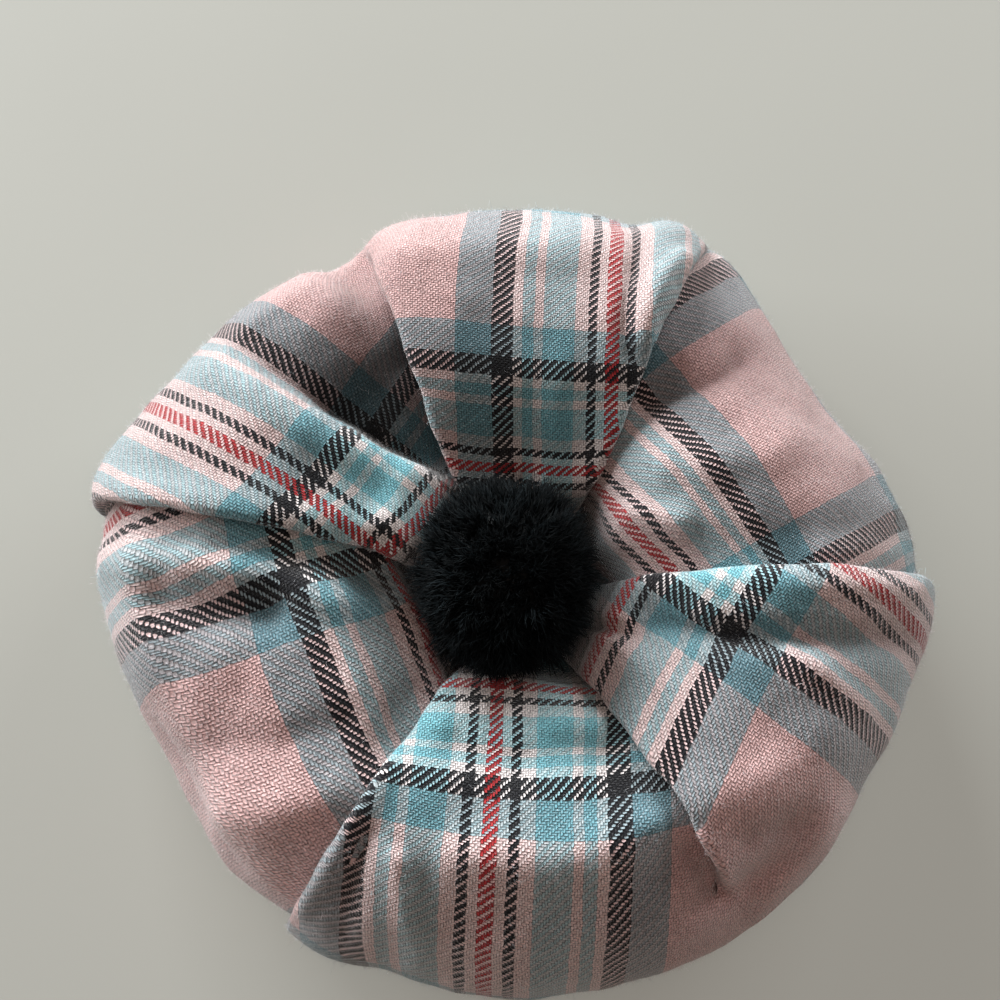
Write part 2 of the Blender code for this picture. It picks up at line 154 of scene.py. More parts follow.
# Where the stripes of each panel lie in the picture, read off enlarged views of it: the view's corner and enlargement,
# then the places, in the enlarged view, that a line passes through. Lines: red, narrow (the thin black), wide (the broad
# black), ground (where the pink ground begins) and pink (near its far side). "across" is a line out from the ring, on the side given by its sign
# (clockwise is +), and "round" a line along the ring.
VIEWS = {
    "front_panel": (330, 640, 4.238),
    "back_panel": (340, 210, 4.126),
    "back_right_panel": (580, 240, 4.238),
    "right_panel": (570, 540, 4.126),
    "left_panel": (85, 490, 3.564),
    "back_left_panel": (85, 220, 4.0727),
}
LINES = {"red": 0.0, "narrow": 9.0 * YARN, "wide": 48.5 * YARN, "ground": 68.0 * YARN, "pink": 132.0 * YARN}
PERIOD = 2 * HALF * YARN
TRACED = [
    # panel, way, line, side, turns, places
    ("front_panel", "across", "red", 1, 0, [(700, 285), (690, 605), (668, 950), (655, 1400)]),
    ("front_panel", "across", "narrow", 1, 0, [(620, 265), (590, 430), (575, 605), (562, 950), (550, 1420)]),
    ("front_panel", "across", "narrow", -1, 0, [(805, 270), (795, 430), (790, 605), (775, 950), (755, 1440)]),
    ("front_panel", "across", "wide", -1, 0, [(1200, 340), (1225, 450), (1245, 600), (1245, 800), (1225, 1000), (1210, 1400)]),
    ("front_panel", "across", "wide", 1, 0, [(150, 760), (110, 900), (95, 1000), (75, 1270)]),
    ("front_panel", "across", "ground", -1, 0, [(1465, 880), (1400, 1100), (1440, 1300)]),
    ("front_panel", "round", "red", 1, 0, [(600, 190), (710, 220), (850, 235), (1050, 190)]),
    ("front_panel", "round", "narrow", 1, 0, [(490, 215), (600, 262), (710, 285), (880, 290), (1050, 245)]),
    ("front_panel", "round", "wide", 1, 0, [(330, 535), (450, 570), (600, 605), (900, 605), (1100, 600), (1245, 600), (1400, 605)]),
    ("front_panel", "round", "ground", 1, 0, [(400, 800), (560, 840), (900, 855), (1300, 865)]),
    ("back_panel", "across", "wide", -1, 0, [(715, 60), (700, 200), (690, 350), (685, 500), (675, 655), (665, 800), (655, 985)]),
    ("back_panel", "across", "narrow", -1, 0, [(1065, 75), (1060, 200), (1050, 350), (1042, 500), (1045, 690), (1045, 800), (1040, 985)]),
    ("back_panel", "across", "red", 1, 0, [(1140, 100), (1125, 250), (1105, 400), (1110, 500), (1130, 690), (1130, 800), (1120, 870)]),
    ("back_panel", "across", "narrow", 1, 0, [(1220, 90), (1215, 200), (1190, 350), (1185, 500), (1195, 680)]),
    ("back_panel", "across", "ground", -1, 0, [(500, 80), (490, 200), (485, 350), (475, 480), (460, 640)]),
    ("back_panel", "round", "red", 1, 0, [(500, 1060), (700, 1065), (950, 1082)]),
    ("back_panel", "round", "narrow", 1, 0, [(500, 982), (660, 985), (850, 992), (1000, 1000)]),
    ("back_panel", "round", "wide", 1, 0, [(380, 625), (540, 640), (680, 655), (850, 665), (1040, 688), (1195, 680)]),
    ("back_panel", "round", "ground", 1, 0, [(230, 440), (400, 445), (600, 462), (850, 475)]),
    ("back_right_panel", "round", "red", 1, 0, [(50, 1040), (130, 1110), (200, 1180), (270, 1260), (310, 1320)]),
    ("back_right_panel", "round", "narrow", 1, 0, [(110, 1000), (170, 1050), (240, 1120), (310, 1200), (370, 1280), (410, 1340)]),
    ("back_right_panel", "round", "narrow", -1, 0, [(20, 1100), (90, 1160), (170, 1220), (240, 1300), (285, 1370)]),
    ("back_right_panel", "round", "wide", 1, 0, [(250, 650), (330, 730), (420, 800), (500, 880), (560, 960), (620, 1040), (680, 1120), (740, 1200), (790, 1290)]),
    ("back_right_panel", "round", "ground", 1, 0, [(395, 490), (470, 610), (560, 700), (640, 770), (720, 860), (780, 960), (830, 1060), (880, 1170)]),
    ("back_right_panel", "across", "wide", 1, 0, [(570, 130), (500, 175), (430, 235)]),
    ("back_right_panel", "across", "ground", 1, 0, [(670, 320), (600, 365), (500, 430), (395, 490)]),
    ("back_right_panel", "across", "ground", -1, 1, [(1250, 1020), (1150, 1065), (1050, 1110), (950, 1150), (885, 1180)]),
    ("back_right_panel", "across", "wide", -1, 1, [(1370, 1190), (1280, 1225), (1200, 1270), (1100, 1335)]),
    ("right_panel", "across", "narrow", -1, 0, [(1320, 140), (1380, 200), (1440, 260)]),
    ("right_panel", "across", "red", 1, 0, [(1130, 125), (1220, 180), (1300, 240), (1370, 310), (1430, 370)]),
    ("right_panel", "across", "narrow", 1, 0, [(1010, 120), (1080, 170), (1160, 220), (1240, 290), (1310, 360), (1390, 440)]),
    ("right_panel", "across", "wide", 1, 0, [(350, 150), (430, 200), (520, 280), (620, 350), (680, 385), (790, 440), (900, 510), (1000, 580), (1100, 660), (1200, 760), (1275, 840)]),
    ("right_panel", "across", "ground", 1, 0, [(770, 720), (870, 775), (960, 840), (1050, 905), (1130, 980)]),
    ("right_panel", "round", "red", 1, 0, [(160, 370), (120, 430), (90, 500)]),
    ("right_panel", "round", "narrow", 1, 0, [(290, 260), (230, 370), (190, 470), (150, 560)]),
    ("right_panel", "round", "wide", 1, 0, [(850, 110), (790, 180), (740, 260), (680, 385), (620, 480), (565, 570), (520, 660), (475, 760), (430, 850), (400, 950)]),
    ("right_panel", "round", "ground", 1, 0, [(1030, 190), (960, 310), (770, 720), (720, 800), (680, 900), (630, 1000), (580, 1110), (540, 1200)]),
    ("left_panel", "across", "red", 1, 0, [(200, 70), (130, 100), (60, 130)]),
    ("left_panel", "across", "narrow", -1, 0, [(250, 110), (190, 130), (130, 165), (70, 205)]),
    ("left_panel", "across", "wide", -1, 0, [(960, 230), (850, 290), (750, 330), (650, 355), (550, 385), (450, 415), (350, 445), (250, 475), (150, 530)]),
    ("left_panel", "across", "ground", -1, 0, [(665, 590), (560, 610), (450, 645), (340, 680), (240, 715)]),
    ("left_panel", "round", "red", 1, 0, [(1180, 490), (1230, 570), (1280, 640)]),
    ("left_panel", "round", "narrow", 1, 0, [(1050, 290), (1070, 370), (1110, 470), (1150, 560), (1200, 640), (1240, 700)]),
    ("left_panel", "round", "wide", 1, 0, [(690, 160), (720, 220), (750, 325), (780, 420), (820, 540), (840, 650), (880, 750), (925, 850), (975, 940), (1015, 1015)]),
    ("left_panel", "round", "ground", 1, 0, [(665, 590), (690, 690), (730, 800), (780, 930), (830, 1050), (860, 1130), (895, 1210)]),
    ("left_panel", "round", "pink", 1, 0, [(235, 870), (300, 1010), (390, 1170), (500, 1330)]),
    ("back_left_panel", "across", "wide", -1, 0, [(40, 1180), (100, 1162)]),
    ("back_left_panel", "across", "narrow", -1, 0, [(240, 850), (320, 880), (430, 910), (530, 960), (600, 1000), (700, 1060), (820, 1170)]),
    ("back_left_panel", "across", "red", 1, 0, [(270, 780), (350, 810), (450, 850), (550, 880), (620, 920), (720, 980), (820, 1050), (900, 1110), (960, 1170), (1040, 1240)]),
    ("back_left_panel", "across", "narrow", 1, 0, [(330, 710), (420, 760), (520, 800), (640, 850), (740, 900), (800, 950), (860, 990), (945, 1030), (1050, 1130), (1130, 1230)]),
    ("back_left_panel", "across", "wide", 1, 0, [(600, 440), (680, 500), (800, 590), (900, 680), (1000, 750), (1080, 820), (1170, 865), (1290, 930), (1400, 1000)]),
    ("back_left_panel", "across", "ground", 1, 0, [(880, 390), (930, 440), (1000, 500), (1060, 560), (1120, 600)]),
    ("back_left_panel", "round", "ground", 1, 0, [(1120, 600), (1170, 520), (1210, 440)]),
    ("back_left_panel", "round", "wide", 1, 0, [(1340, 640), (1280, 720), (1220, 800), (1170, 865), (1080, 910), (1000, 975), (945, 1030), (890, 1100), (820, 1170), (760, 1210)]),
    ("back_left_panel", "round", "narrow", 1, 0, [(1450, 1050), (1330, 1150), (1240, 1230)]),
    ("back_left_panel", "round", "red", 1, 0, [(1400, 1150), (1320, 1220), (1250, 1300)]),
]

# Swellings (+) and hollows (-) of the top that the section doesn't have: in the picture's pixels, the places that each
# runs through, its half-width, and its height in millimetres. A sharp one comes to a crease along its line. One with a
# panel's name stays on that panel, so that the panel it meets at a tuck doesn't follow it.
STROKES = [
    # name, panel, places, half_width, height, sharp
    ("pocket_crease", "back_left_panel", [(236, 340), (300, 383), (350, 415), (400, 443), (440, 462)], 22, -3.5, True),
    ("pocket_brim", "back_left_panel", [(236, 328), (270, 302), (304, 280)], 13, 2.5, False),
    ("peak", "back_left_panel", [(342, 250), (352, 244)], 15, 7.5, False),
    ("bank", "back_left_panel", [(105, 492), (215, 510), (320, 524), (392, 540)], 22, 3.5, False),
    ("lip", "back_left_panel", [(438, 474), (414, 502), (394, 532)], 32, 5.5, False),
    ("shoulder", "back_left_panel", [(215, 372), (280, 410), (345, 446), (405, 476)], 22, 3.0, False),
    ("welt", "left_panel", [(105, 560), (200, 562), (280, 582), (335, 600)], 18, 3.5, False),
    ("trough", "left_panel", [(165, 596), (215, 606), (262, 606)], 26, -6.5, False),
    ("dip", "left_panel", [(200, 745), (280, 742), (345, 720)], 18, -2.0, False),
    ("shelf", "left_panel", [(235, 822), (295, 812), (348, 790)], 30, 4.2, False),
    ("inner_swell", "left_panel", [(330, 610), (350, 660), (365, 720)], 16, 1.5, False),
    ("brow", "front_panel", [(470, 858), (530, 868), (590, 860), (650, 826)], 33, 3.8, False),
    ("under_the_brow", "front_panel", [(455, 752), (520, 758), (600, 752)], 19, -2.5, False),
    ("edge", "front_panel", [(388, 770), (342, 850), (303, 908)], 9, 2.5, False),
    ("left_lobe", "front_panel", [(428, 716), (442, 722)], 14, 2.5, False),
    ("right_lobe", "front_panel", [(560, 722), (592, 724)], 15, 3.0, False),
    ("between_lobes", "front_panel", [(500, 700), (500, 722)], 15, -2.0, False),
    ("pleat", "front_panel", [(398, 860), (405, 910), (415, 960)], 12, 2.5, False),
    ("pleat_side", "front_panel", [(362, 830), (350, 880), (342, 925)], 12, -3.5, False),
    ("knob", None, [(650, 824)], 16, 2.5, False),
    ("dimple", "front_panel", [(690, 852), (714, 884)], 15, -6.0, False),
    ("fold_side", "right_panel", [(700, 840), (722, 878)], 9, 2.0, False),
    ("ledge", "right_panel", [(694, 806), (745, 796), (800, 768), (832, 738)], 32, 3.2, False),
    ("thumb_mark", "right_panel", [(752, 838), (790, 822)], 17, -3.5, False),
    ("side_roll", "right_panel", [(835, 812), (805, 862), (770, 888)], 14, 2.5, False),
    ("gutter", "right_panel", [(650, 618), (720, 632), (800, 636), (900, 640)], 19, -5.5, False),
    ("edge_roll", "right_panel", [(650, 580), (720, 578), (820, 582), (915, 592)], 12, 3.0, False),
    ("streak", "right_panel", [(790, 650), (870, 712)], 9, 1.8, False),
    ("hollow_crease", "back_right_panel", [(655, 398), (700, 386), (738, 362)], 24, -6.5, True),
    ("hollow_brim", "back_right_panel", [(722, 264), (750, 294), (778, 326)], 11, 2.5, False),
    ("rise", "back_right_panel", [(668, 470), (720, 462), (780, 448)], 26, 2.2, False),
    ("rise_at_right", "back_right_panel", [(820, 552), (890, 554)], 16, 2.0, False),
    ("roll_at_ring", "back_right_panel", [(630, 512), (680, 524)], 14, 3.0, False),
    ("roll", "back_panel", [(682, 264), (664, 282), (651, 312), (643, 342)], 12, 6.0, False),
    ("beside_roll", "back_panel", [(640, 250), (630, 282), (625, 320), (630, 350)], 10, -3.5, False),
    ("back_lift", "back_panel", [(400, 250), (505, 244), (605, 248)], 27, 4.2, False),
    ("fall_to_ring", None, [(480, 440), (520, 444), (560, 444)], 50, -7.0, False),
    ("left_fall_to_ring", "left_panel", [(372, 590), (396, 640), (420, 684)], 36, -4.0, False),
]

# Pockets: the cloth falls away evenly from a brim, by the depth over the run, and comes up again at a bank, in the
# picture's pixels. Both lines run so that the pocket is on their right in the picture's own directions.
POCKETS = [
    # name, panel, brim, bank, run, bank_width, depth
    ("beside_back_left_tuck", "back_left_panel", ((236, 338), (350, 248)), ((440, 462), (236, 340)), 104.0, 24.0, 17.0),
]

# ---- Camera: above the front, looking a little towards the back -------------------------------------------------------
FOCAL_PX = 1350.0
TILT = math.radians(14)
EYE = np.array([-4.7, -74.0, 422.6])        # from the hat's axis


def in_picture(points):
    """Pixels of points given in millimetres from the hat's axis."""
    d = points - EYE
    depth = d[..., 1] * math.sin(TILT) - d[..., 2] * math.cos(TILT)
    up = d[..., 1] * math.cos(TILT) + d[..., 2] * math.sin(TILT)
    return np.stack((500 + FOCAL_PX * d[..., 0] / depth, 500 - FOCAL_PX * up / depth), -1)


# ---- Curves through the tables ---------------------------------------------------------------------------------------------
def through(y, at):
    y, at = np.asarray(y, float), np.asarray(at, float)
    y = np.concatenate(([2 * y[0] - y[1]], y, [2 * y[-1] - y[-2]]))
    i = np.clip(at.astype(int), 0, len(y) - 4)
    u = at - i
    a, b, c, d = y[i], y[i + 1], y[i + 2], y[i + 3]
    return b + 0.5 * u * (c - a + u * (2 * a - 5 * b + 4 * c - d + u * (3 * (b - c) + d - a)))


def rim_radius(angle):
    y = [OUTLINE[k] for k in sorted(OUTLINE)]
    around = np.array(y[-2:] + y + y[:3], float)
    return through(around, np.mod(angle, 360) * len(y) / 360 + 2)


def ease(u):
    u = np.clip(u, 0, 1)
    return u * u * (3 - 2 * u)


class Rows:
    def __init__(self, at):
        table = np.array(SECTION, float)
        n = np.arange(len(table))
        self.at = at = np.asarray(at, float)
        self.r, self.z = through(table[:, R], at), through(table[:, Z], at)
        lo, hi = np.clip(at - 1e-3, 0, n[-1]), np.clip(at + 1e-3, 0, n[-1])
        dr = through(table[:, R], hi) - through(table[:, R], lo)
        dz = through(table[:, Z], hi) - through(table[:, Z], lo)
        self.nr, self.nz = -dz / np.hypot(dr, dz), dr / np.hypot(dr, dz)
        share = lambda column: np.interp(at, n, table[:, column])
        self.out, self.ring, self.straight = share(OUT), share(RING), share(STRAIGHT)
        self.puff, self.tuck, self.open, self.step = share(PUFFS), share(TUCK), share(OPEN), share(STEP)
        self.crease = share(CREASE)
        outward = np.clip((self.r - RING_CORNER) / (RIM_RADIUS - RING_CORNER), 0, 1)
        outward = np.where(at > LAST_TOP_ROW, 1, outward)
        self.tuck_angle = np.stack([through([t[1], t[2], t[3]], 2 * outward) for t in TUCKS], 1)
        corner = np.array([t[6] for t in TUCKS]) / RING_CORNER
        self.corner = 1 + (corner[None, :] - 1) * self.ring[:, None]


def dome_radius(rows, angle, panel=None):
    """Radius of the dome without its tucks, and each point's place between two tucks. With a panel, that panel's own
    surface goes on past its tucks."""
    edges = np.concatenate((rows.tuck_angle, rows.tuck_angle[:, :1] + 360), 1)
    row = np.arange(len(angle))[:, None]
    if panel is None:
        a = np.mod(angle - edges[:, :1], 360) + edges[:, :1]
        k = (a[:, :, None] >= edges[:, None, :-1]).sum(2) - 1
    else:
        k = np.full(angle.shape, panel)
        middle = (edges[:, panel] + edges[:, panel + 1])[:, None] / 2
        a = np.mod(angle - middle + 180, 360) - 180 + middle
    a0, a1 = edges[row, k], edges[row, k + 1]
    ends = rows.r[:, None] * np.concatenate((rows.corner, rows.corner[:, :1]), 1)
    r0, r1 = ends[row, k], ends[row, k + 1]
    t = (a - a0) / (a1 - a0)
    arc = r0 + (r1 - r0) * t
    chord = r0 * r1 * np.sin(np.radians(a1 - a0)) / (r0 * np.sin(np.radians(a - a0)) + r1 * np.sin(np.radians(a1 - a)))
    s = rows.straight[:, None]
    radius = (1 - s) * arc + s * chord
    radius = radius * (1 + rows.out[:, None] * (rim_radius(a) / RIM_RADIUS - 1))
    for name, middle, half in CREASES:
        off = (a - middle + 180) % 360 - 180
        radius = radius + rows.crease[:, None] * ease(1.6 * (1 - np.abs(off) / half))
    return radius, t


def place(rows, angle, height):
    radius, t = dome_radius(rows, angle)
    lift = height + PUFF * rows.puff[:, None] * np.sin(np.pi * t) ** 0.8
    top = rows.at[:, None] < LAST_TOP_ROW
    for name, at_angle, at_radius, along, across, tall in DENTS:
        off = np.radians((angle - at_angle + 180) % 360 - 180) * at_radius
        lift = lift + tall * np.exp(-((radius - at_radius) / along) ** 2 - (off / across) ** 2) * top
    reach = radius + lift * rows.nr[:, None]
    a = np.radians(angle)
    x = reach * np.sin(a) + RING_CENTRE[0] * rows.ring[:, None]
    y = reach * np.cos(a) + RING_CENTRE[1] * rows.ring[:, None]
    z = rows.z[:, None] + lift * rows.nz[:, None] + 0 * x
    return np.stack((x, y, z), -1)


def tuck_bends(depth, lead, opened, step, n_top, n_arc, n_back):
    """The cloth's way through a tuck, as in the part, with how far along the cloth each point is."""
    bend = PITCH / 2
    fall = 2 * PITCH * step
    turn = math.pi * (1 - opened)
    turn = np.minimum(turn, np.arccos(np.clip(1 - fall / (2 * bend), -1, 1)))
    shut = turn > 0.97 * math.pi
    turn = np.where(shut, math.pi, turn)
    between = np.where(shut, depth - 2 * bend, (fall - 2 * bend * (1 - np.cos(turn))) / np.maximum(np.sin(turn), 0.05))
    top = (2 * PITCH - SINK) * step
    xs, hs = [], []
    for i in range(n_top):
        u = i / n_top
        xs.append(-(depth + lead) * (1 - u) - bend * u)
        hs.append(top)
    for i in range(n_arc + 1):
        a = turn * i / n_arc
        xs.append(-bend + bend * np.sin(a))
        hs.append(top - bend + bend * np.cos(a))
    x, h = xs[-1] + between * np.cos(turn), hs[-1] - between * np.sin(turn)
    cx, ch = x + bend * np.sin(turn), h + bend * np.cos(turn)
    for i in range(n_back + 1):
        a = turn * (1 - i / n_back)
        xs.append(cx - bend * np.sin(a))
        hs.append(ch - bend * np.cos(a))
    end = np.maximum(xs[-1] + 0.6, 0)
    xs += [end, end + lead]
    hs += [hs[-1], hs[-1]]
    x, h = np.stack([v + 0 * depth for v in xs], 1), np.stack([v + 0 * depth for v in hs], 1)
    even = x[:, :1] + (x[:, -1:] - x[:, :1]) * np.linspace(0, 1, len(xs))[None, :]
    spread = ease((opened - 0.55) / 0.4)[:, None]
    x = x * (1 - spread) + even * spread
    run = np.concatenate((0 * x[:, :1], np.cumsum(np.hypot(np.diff(x, axis=1), np.diff(h, axis=1)), 1)), 1)
    return x, h, run


def run_out(rows, tuck):
    """How far the fold of a tuck has run out at each row, from 0 to 1."""
    for name, start, length in RUN_OUTS:
        if name == TUCKS[tuck][0]:
            return ease((rows.at - start) / length)
    return 0 * rows.at


def crown_grid(row_at, n_top, n_arc, n_back, n_panel):
    """The middle of the cloth as rows x points x 3; the panel of the strip after each point; and for each point the
    angles that it would have in the panel before and after it if they went on flat under the tuck."""
    rows = Rows(row_at)
    at_tuck, _ = dome_radius(rows, rows.tuck_angle + 1e-6)
    gap = np.diff(np.concatenate((rows.tuck_angle, rows.tuck_angle[:, :1] + 360), 1), axis=1)
    width = np.radians(gap) * np.minimum(at_tuck, np.roll(at_tuck, -1, 1))
    narrow = np.minimum(width, np.roll(width, 1, 1))
    seam = n_top + n_arc + 1
    zones = []
    owner = []
    for k, (name, _, _, _, over, depth, _) in enumerate(TUCKS):
        d = np.minimum(np.maximum(depth * rows.tuck, 3.0), 0.26 * narrow[:, k])
        lead = np.minimum(LEAD, 0.12 * narrow[:, k])
        out = run_out(rows, k)
        x, h, run = tuck_bends(d, lead, np.maximum(rows.open, out), rows.step * (1 - out), n_top, n_arc, n_back)
        upper, lower = x[:, :1] + run, x[:, -1:] - (run[:, -1:] - run)
        x, upper, lower = -over * x, -over * upper, -over * lower
        cut = seam
        if over > 0:        # the upper panel comes after the tuck
            x, h, upper, lower = x[:, ::-1], h[:, ::-1], upper[:, ::-1], lower[:, ::-1]
            cut = x.shape[1] - 1 - seam
        mine = seam if over < 0 else x.shape[1] - seam
        owner += [(k - 1) % 6] * mine + [k] * (x.shape[1] - mine + n_panel)
        before, after = (upper, lower) if over < 0 else (lower, upper)
        turn = lambda v: rows.tuck_angle[:, k:k + 1] + np.degrees(v / at_tuck[:, k:k + 1])
        zones.append((turn(x), h, over, turn(before), turn(after), cut))
    angles, heights, befores, afters, strips = [], [], [], [], []
    for k, (angle, h, over, before, after_, cut) in enumerate(zones):
        angles.append(angle)
        heights.append(h)
        befores.append(before)
        afters.append(after_)
        strips += [(k - 1) % 6] * cut + [k] * (angle.shape[1] - cut)
        nxt = (k + 1) % len(zones)
        a0, a1 = angle[:, -1:], zones[nxt][0][:, :1] + (360 if nxt == 0 else 0)
        a = a0 + (a1 - a0) * (np.arange(1, n_panel + 1) / (n_panel + 1))[None, :]
        mm = np.radians(1) * rows.r[:, None]
        span = (a1 - a0) * mm
        run0 = np.minimum(OVER_RUN if over > 0 else UNDER_RUN, 0.55 * span)
        run1 = np.minimum(OVER_RUN if zones[nxt][2] < 0 else UNDER_RUN, 0.55 * span)
        angles.append(a)
        befores.append(a)
        afters.append(a)
        strips += [k] * n_panel
        heights.append(h[:, -1:] * (1 - ease((a - a0) * mm / run0)) + zones[nxt][1][:, :1] * (1 - ease((a1 - a) * mm / run1)))
    join = lambda parts: np.concatenate(parts, 1)
    angles, heights = join(angles), join(heights)
    return rows, place(rows, angles, heights), np.array(strips), np.array(owner), join(befores), join(afters), angles


def stroke_heights(rows, p, owner):
    """How far each point is raised by the strokes."""
    q = in_picture(p)
    raised = np.zeros(p.shape[:2])
    # Each point's share in every panel: all or nothing, but blended where a fold has run out.
    column = np.arange(p.shape[1])
    zone = p.shape[1] // 6
    nearest = (column // zone + (column % zone > zone - SPLIT["n_panel"] // 2)) % 6
    blend = np.stack([run_out(rows, k) for k in range(6)], 1)[:, nearest]
    share = []
    for k in range(6):
        mine = (owner == k).astype(float)
        soft = sum(np.roll(mine, n) for n in range(-9, 10)) / 19
        share.append(mine[None, :] * (1 - blend) + soft[None, :] * blend)
    for name, panel, places, width, tall, sharp in STROKES:
        line = np.array(places if len(places) > 1 else places * 2, float)
        gap = None
        for a, b in zip(line[:-1], line[1:]):
            along = b - a
            u = np.clip(((q - a) @ along) / max(along @ along, 1e-6), 0, 1)
            d = ((q - a - u[..., None] * along) ** 2).sum(-1)
            gap = d if gap is None else np.minimum(gap, d)
        lift = tall * (np.exp(-np.sqrt(gap + 4.0) / width) if sharp else np.exp(-gap / width ** 2))
        if panel is not None:
            lift = lift * share[[n for n, _ in PANELS].index(panel)]
        raised += lift
    for name, panel, brim, bank, run, width, deep in POCKETS:
        inside = []
        for a, b in (brim, bank):
            a, b = np.array(a, float), np.array(b, float)
            along = (b - a) / np.linalg.norm(b - a)
            inside.append((q - a) @ np.array([-along[1], along[0]]))
        down = np.clip((inside[0] + np.sqrt(inside[0] ** 2 + 36.0)) / 2 / run, 0, 1)
        near_ring = (1 - 0.4 * ease((9.0 - rows.at) / 3.5))[:, None]
        raised -= deep * down * near_ring * ease(inside[1] / width + 1) * share[[n for n, _ in PANELS].index(panel)]
    return raised * (ease((17.2 - rows.at) / 3.0) * ease((rows.at - 2.5) / 2.0))[:, None]


def ripple_heights(rows, p):
    """The small unevenness of soft cloth, from a few dozen waves."""
    rng = np.random.default_rng(5)
    h = 0
    for _ in range(46):
        long_ = rng.uniform(9.0, 30.0)
        way = rng.uniform(0, 2 * math.pi)
        k = 2 * math.pi / long_ * np.array([math.cos(way), math.sin(way), rng.normal() * 0.4])
        h = h + np.sin(p @ k + rng.uniform(0, 6.28)) * long_ / 30
    return 0.085 * h * (ease((20.0 - rows.at) / 3.0) * ease((rows.at - 4.5) / 2.0))[:, None]


def vertex_normals(p):
    """Outward normals of a grid that closes on itself round the hat."""
    round_ = np.roll(p, -1, 1) - np.roll(p, 1, 1)
    out = np.empty_like(p)
    out[1:-1] = p[2:] - p[:-2]
    out[0], out[-1] = p[1] - p[0], p[-1] - p[-2]
    n = np.cross(out, round_)
    n /= np.maximum(np.linalg.norm(n, axis=2, keepdims=True), 1e-9)
    if n[len(n) // 2, :, 2].mean() < 0:
        n = -n
    return n


# ---- Cloth coordinates ------------------------------------------------------------------------------------------------------
def flat_places(rows, panel, angle):
    """Where each point lies on its panel laid flat: across its middle line and out from the ring, in millimetres."""
    axis = PANELS[panel][1]
    whole = np.full((len(rows.at), 1), axis, float)
    mid, _ = dome_radius(rows, whole, panel)
    line = place(rows, whole, 0 * mid)[:, 0]
    along = np.concatenate(([0], np.cumsum(np.linalg.norm(np.diff(line, axis=0), axis=1))))
    along -= np.interp(6.0, rows.at, along)
    radius, _ = dome_radius(rows, angle, panel)
    off = np.radians(angle - axis)
    return radius * np.sin(off), along[:, None] + radius * np.cos(off) - mid


def terms(s, t):
    """The slow corrections that bring the stripes to where they lie on the real cloth."""
    a, b = np.clip(s / 60, -1.1, 1.1), np.clip(t / 60, -0.35, 1.35)
    return [1 + 0 * a, a, b, a * a, a * b, b * b, a ** 3, a * a * b, a * b * b, b ** 3, b ** 4]


STIFF = [0.0, 0.02, 0.02, 0.1, 0.1, 0.1, 0.3, 0.3, 0.3, 0.3, 0.3]


def fit_panel(panel, picture, s, t):
    """Least-squares corrections for one panel from the lines traced in the picture. picture, s and t are the panel's
    own visible points."""
    name = PANELS[panel][0]
    x0, y0, scale = VIEWS[name]
    wanted = {"across": [], "round": []}
    for row_name, way, line, side, turns, places in TRACED:
        if row_name != name:
            continue
        value = side * LINES[line] + turns * PERIOD
        for x, y in places:
            spot = np.array([x0 + x / scale, y0 + y / scale])
            gap = ((picture - spot) ** 2).sum(1)
            near = np.argsort(gap)[:14]
            basis = np.column_stack((np.ones(len(near)), picture[near] - spot))
            weight = 1 / (gap[near] + 2.0)
            local = [np.linalg.lstsq(basis * weight[:, None], q[near] * weight, rcond=None)[0][0] for q in (s, t)]
            wanted[way].append((local[0], local[1], value))
    fits = []
    for way, base in (("across", 0), ("round", 1)):
        w = np.array(wanted[way])
        a = np.column_stack(terms(w[:, 0], w[:, 1]))
        b = w[:, 2] - w[:, base]
        stiff = np.diag(STIFF) * 3
        c = np.linalg.lstsq(np.vstack((a, stiff)), np.concatenate((b, np.zeros(len(STIFF)))), rcond=None)[0]
        fits.append(c)
        left = b - a @ c
        worst = np.argsort(-np.abs(left))[:4]
        print("   ", [(round(float(w[n, 0])), round(float(w[n, 1])), round(float(w[n, 2]), 1), round(float(left[n]), 1)) for n in worst])
        print(name, way, "left over, mm: mean", round(float(np.abs(left).mean()), 2), "most", round(float(np.abs(left).max()), 2))
    return fits


# ---- Building meshes -----------------------------------------------------------------------------------------------------------
def mesh_object(name, verts, faces, material, smooth=True):
    me = bpy.data.meshes.new(name)
    faces = [np.asarray(f) for f in faces]
    sizes = np.concatenate([np.full(len(f), f.shape[1]) for f in faces])
    loops = np.concatenate([f.ravel() for f in faces])
    me.vertices.add(len(verts))
    me.vertices.foreach_set("co", (np.asarray(verts) * MM).astype(np.float32).ravel())
    me.loops.add(len(loops))
    me.loops.foreach_set("vertex_index", loops.astype(np.int32))
    me.polygons.add(len(sizes))
    me.polygons.foreach_set("loop_start", np.concatenate(([0], np.cumsum(sizes)[:-1])).astype(np.int32))
    me.polygons.foreach_set("loop_total", sizes.astype(np.int32))
    me.update(calc_edges=True)
    me.validate()
    if smooth:
        me.polygons.foreach_set("use_smooth", np.ones(len(sizes), bool))
    me.materials.append(material)
    ob = bpy.data.objects.new(name, me)
    bpy.context.scene.collection.objects.link(ob)
    return ob


def corner_vectors(ob, name, values):
    a = ob.data.attributes.new(name, "FLOAT_VECTOR", "CORNER")
    a.data.foreach_set("vector", np.ascontiguousarray(values, np.float32).ravel())


def bake_map(ob, uv):
    layer = ob.data.uv_layers.new(name="OFBake")
    layer.data.foreach_set("uv", np.ascontiguousarray(uv, np.float32).ravel())


# ---- Materials -----------------------------------------------------------------------------------------------------------------------
def linear(srgb):
    c = [v / 255 for v in srgb]
    return tuple(v / 12.92 if v <= 0.04045 else ((v + 0.055) / 1.055) ** 2.4 for v in c) + (1,)


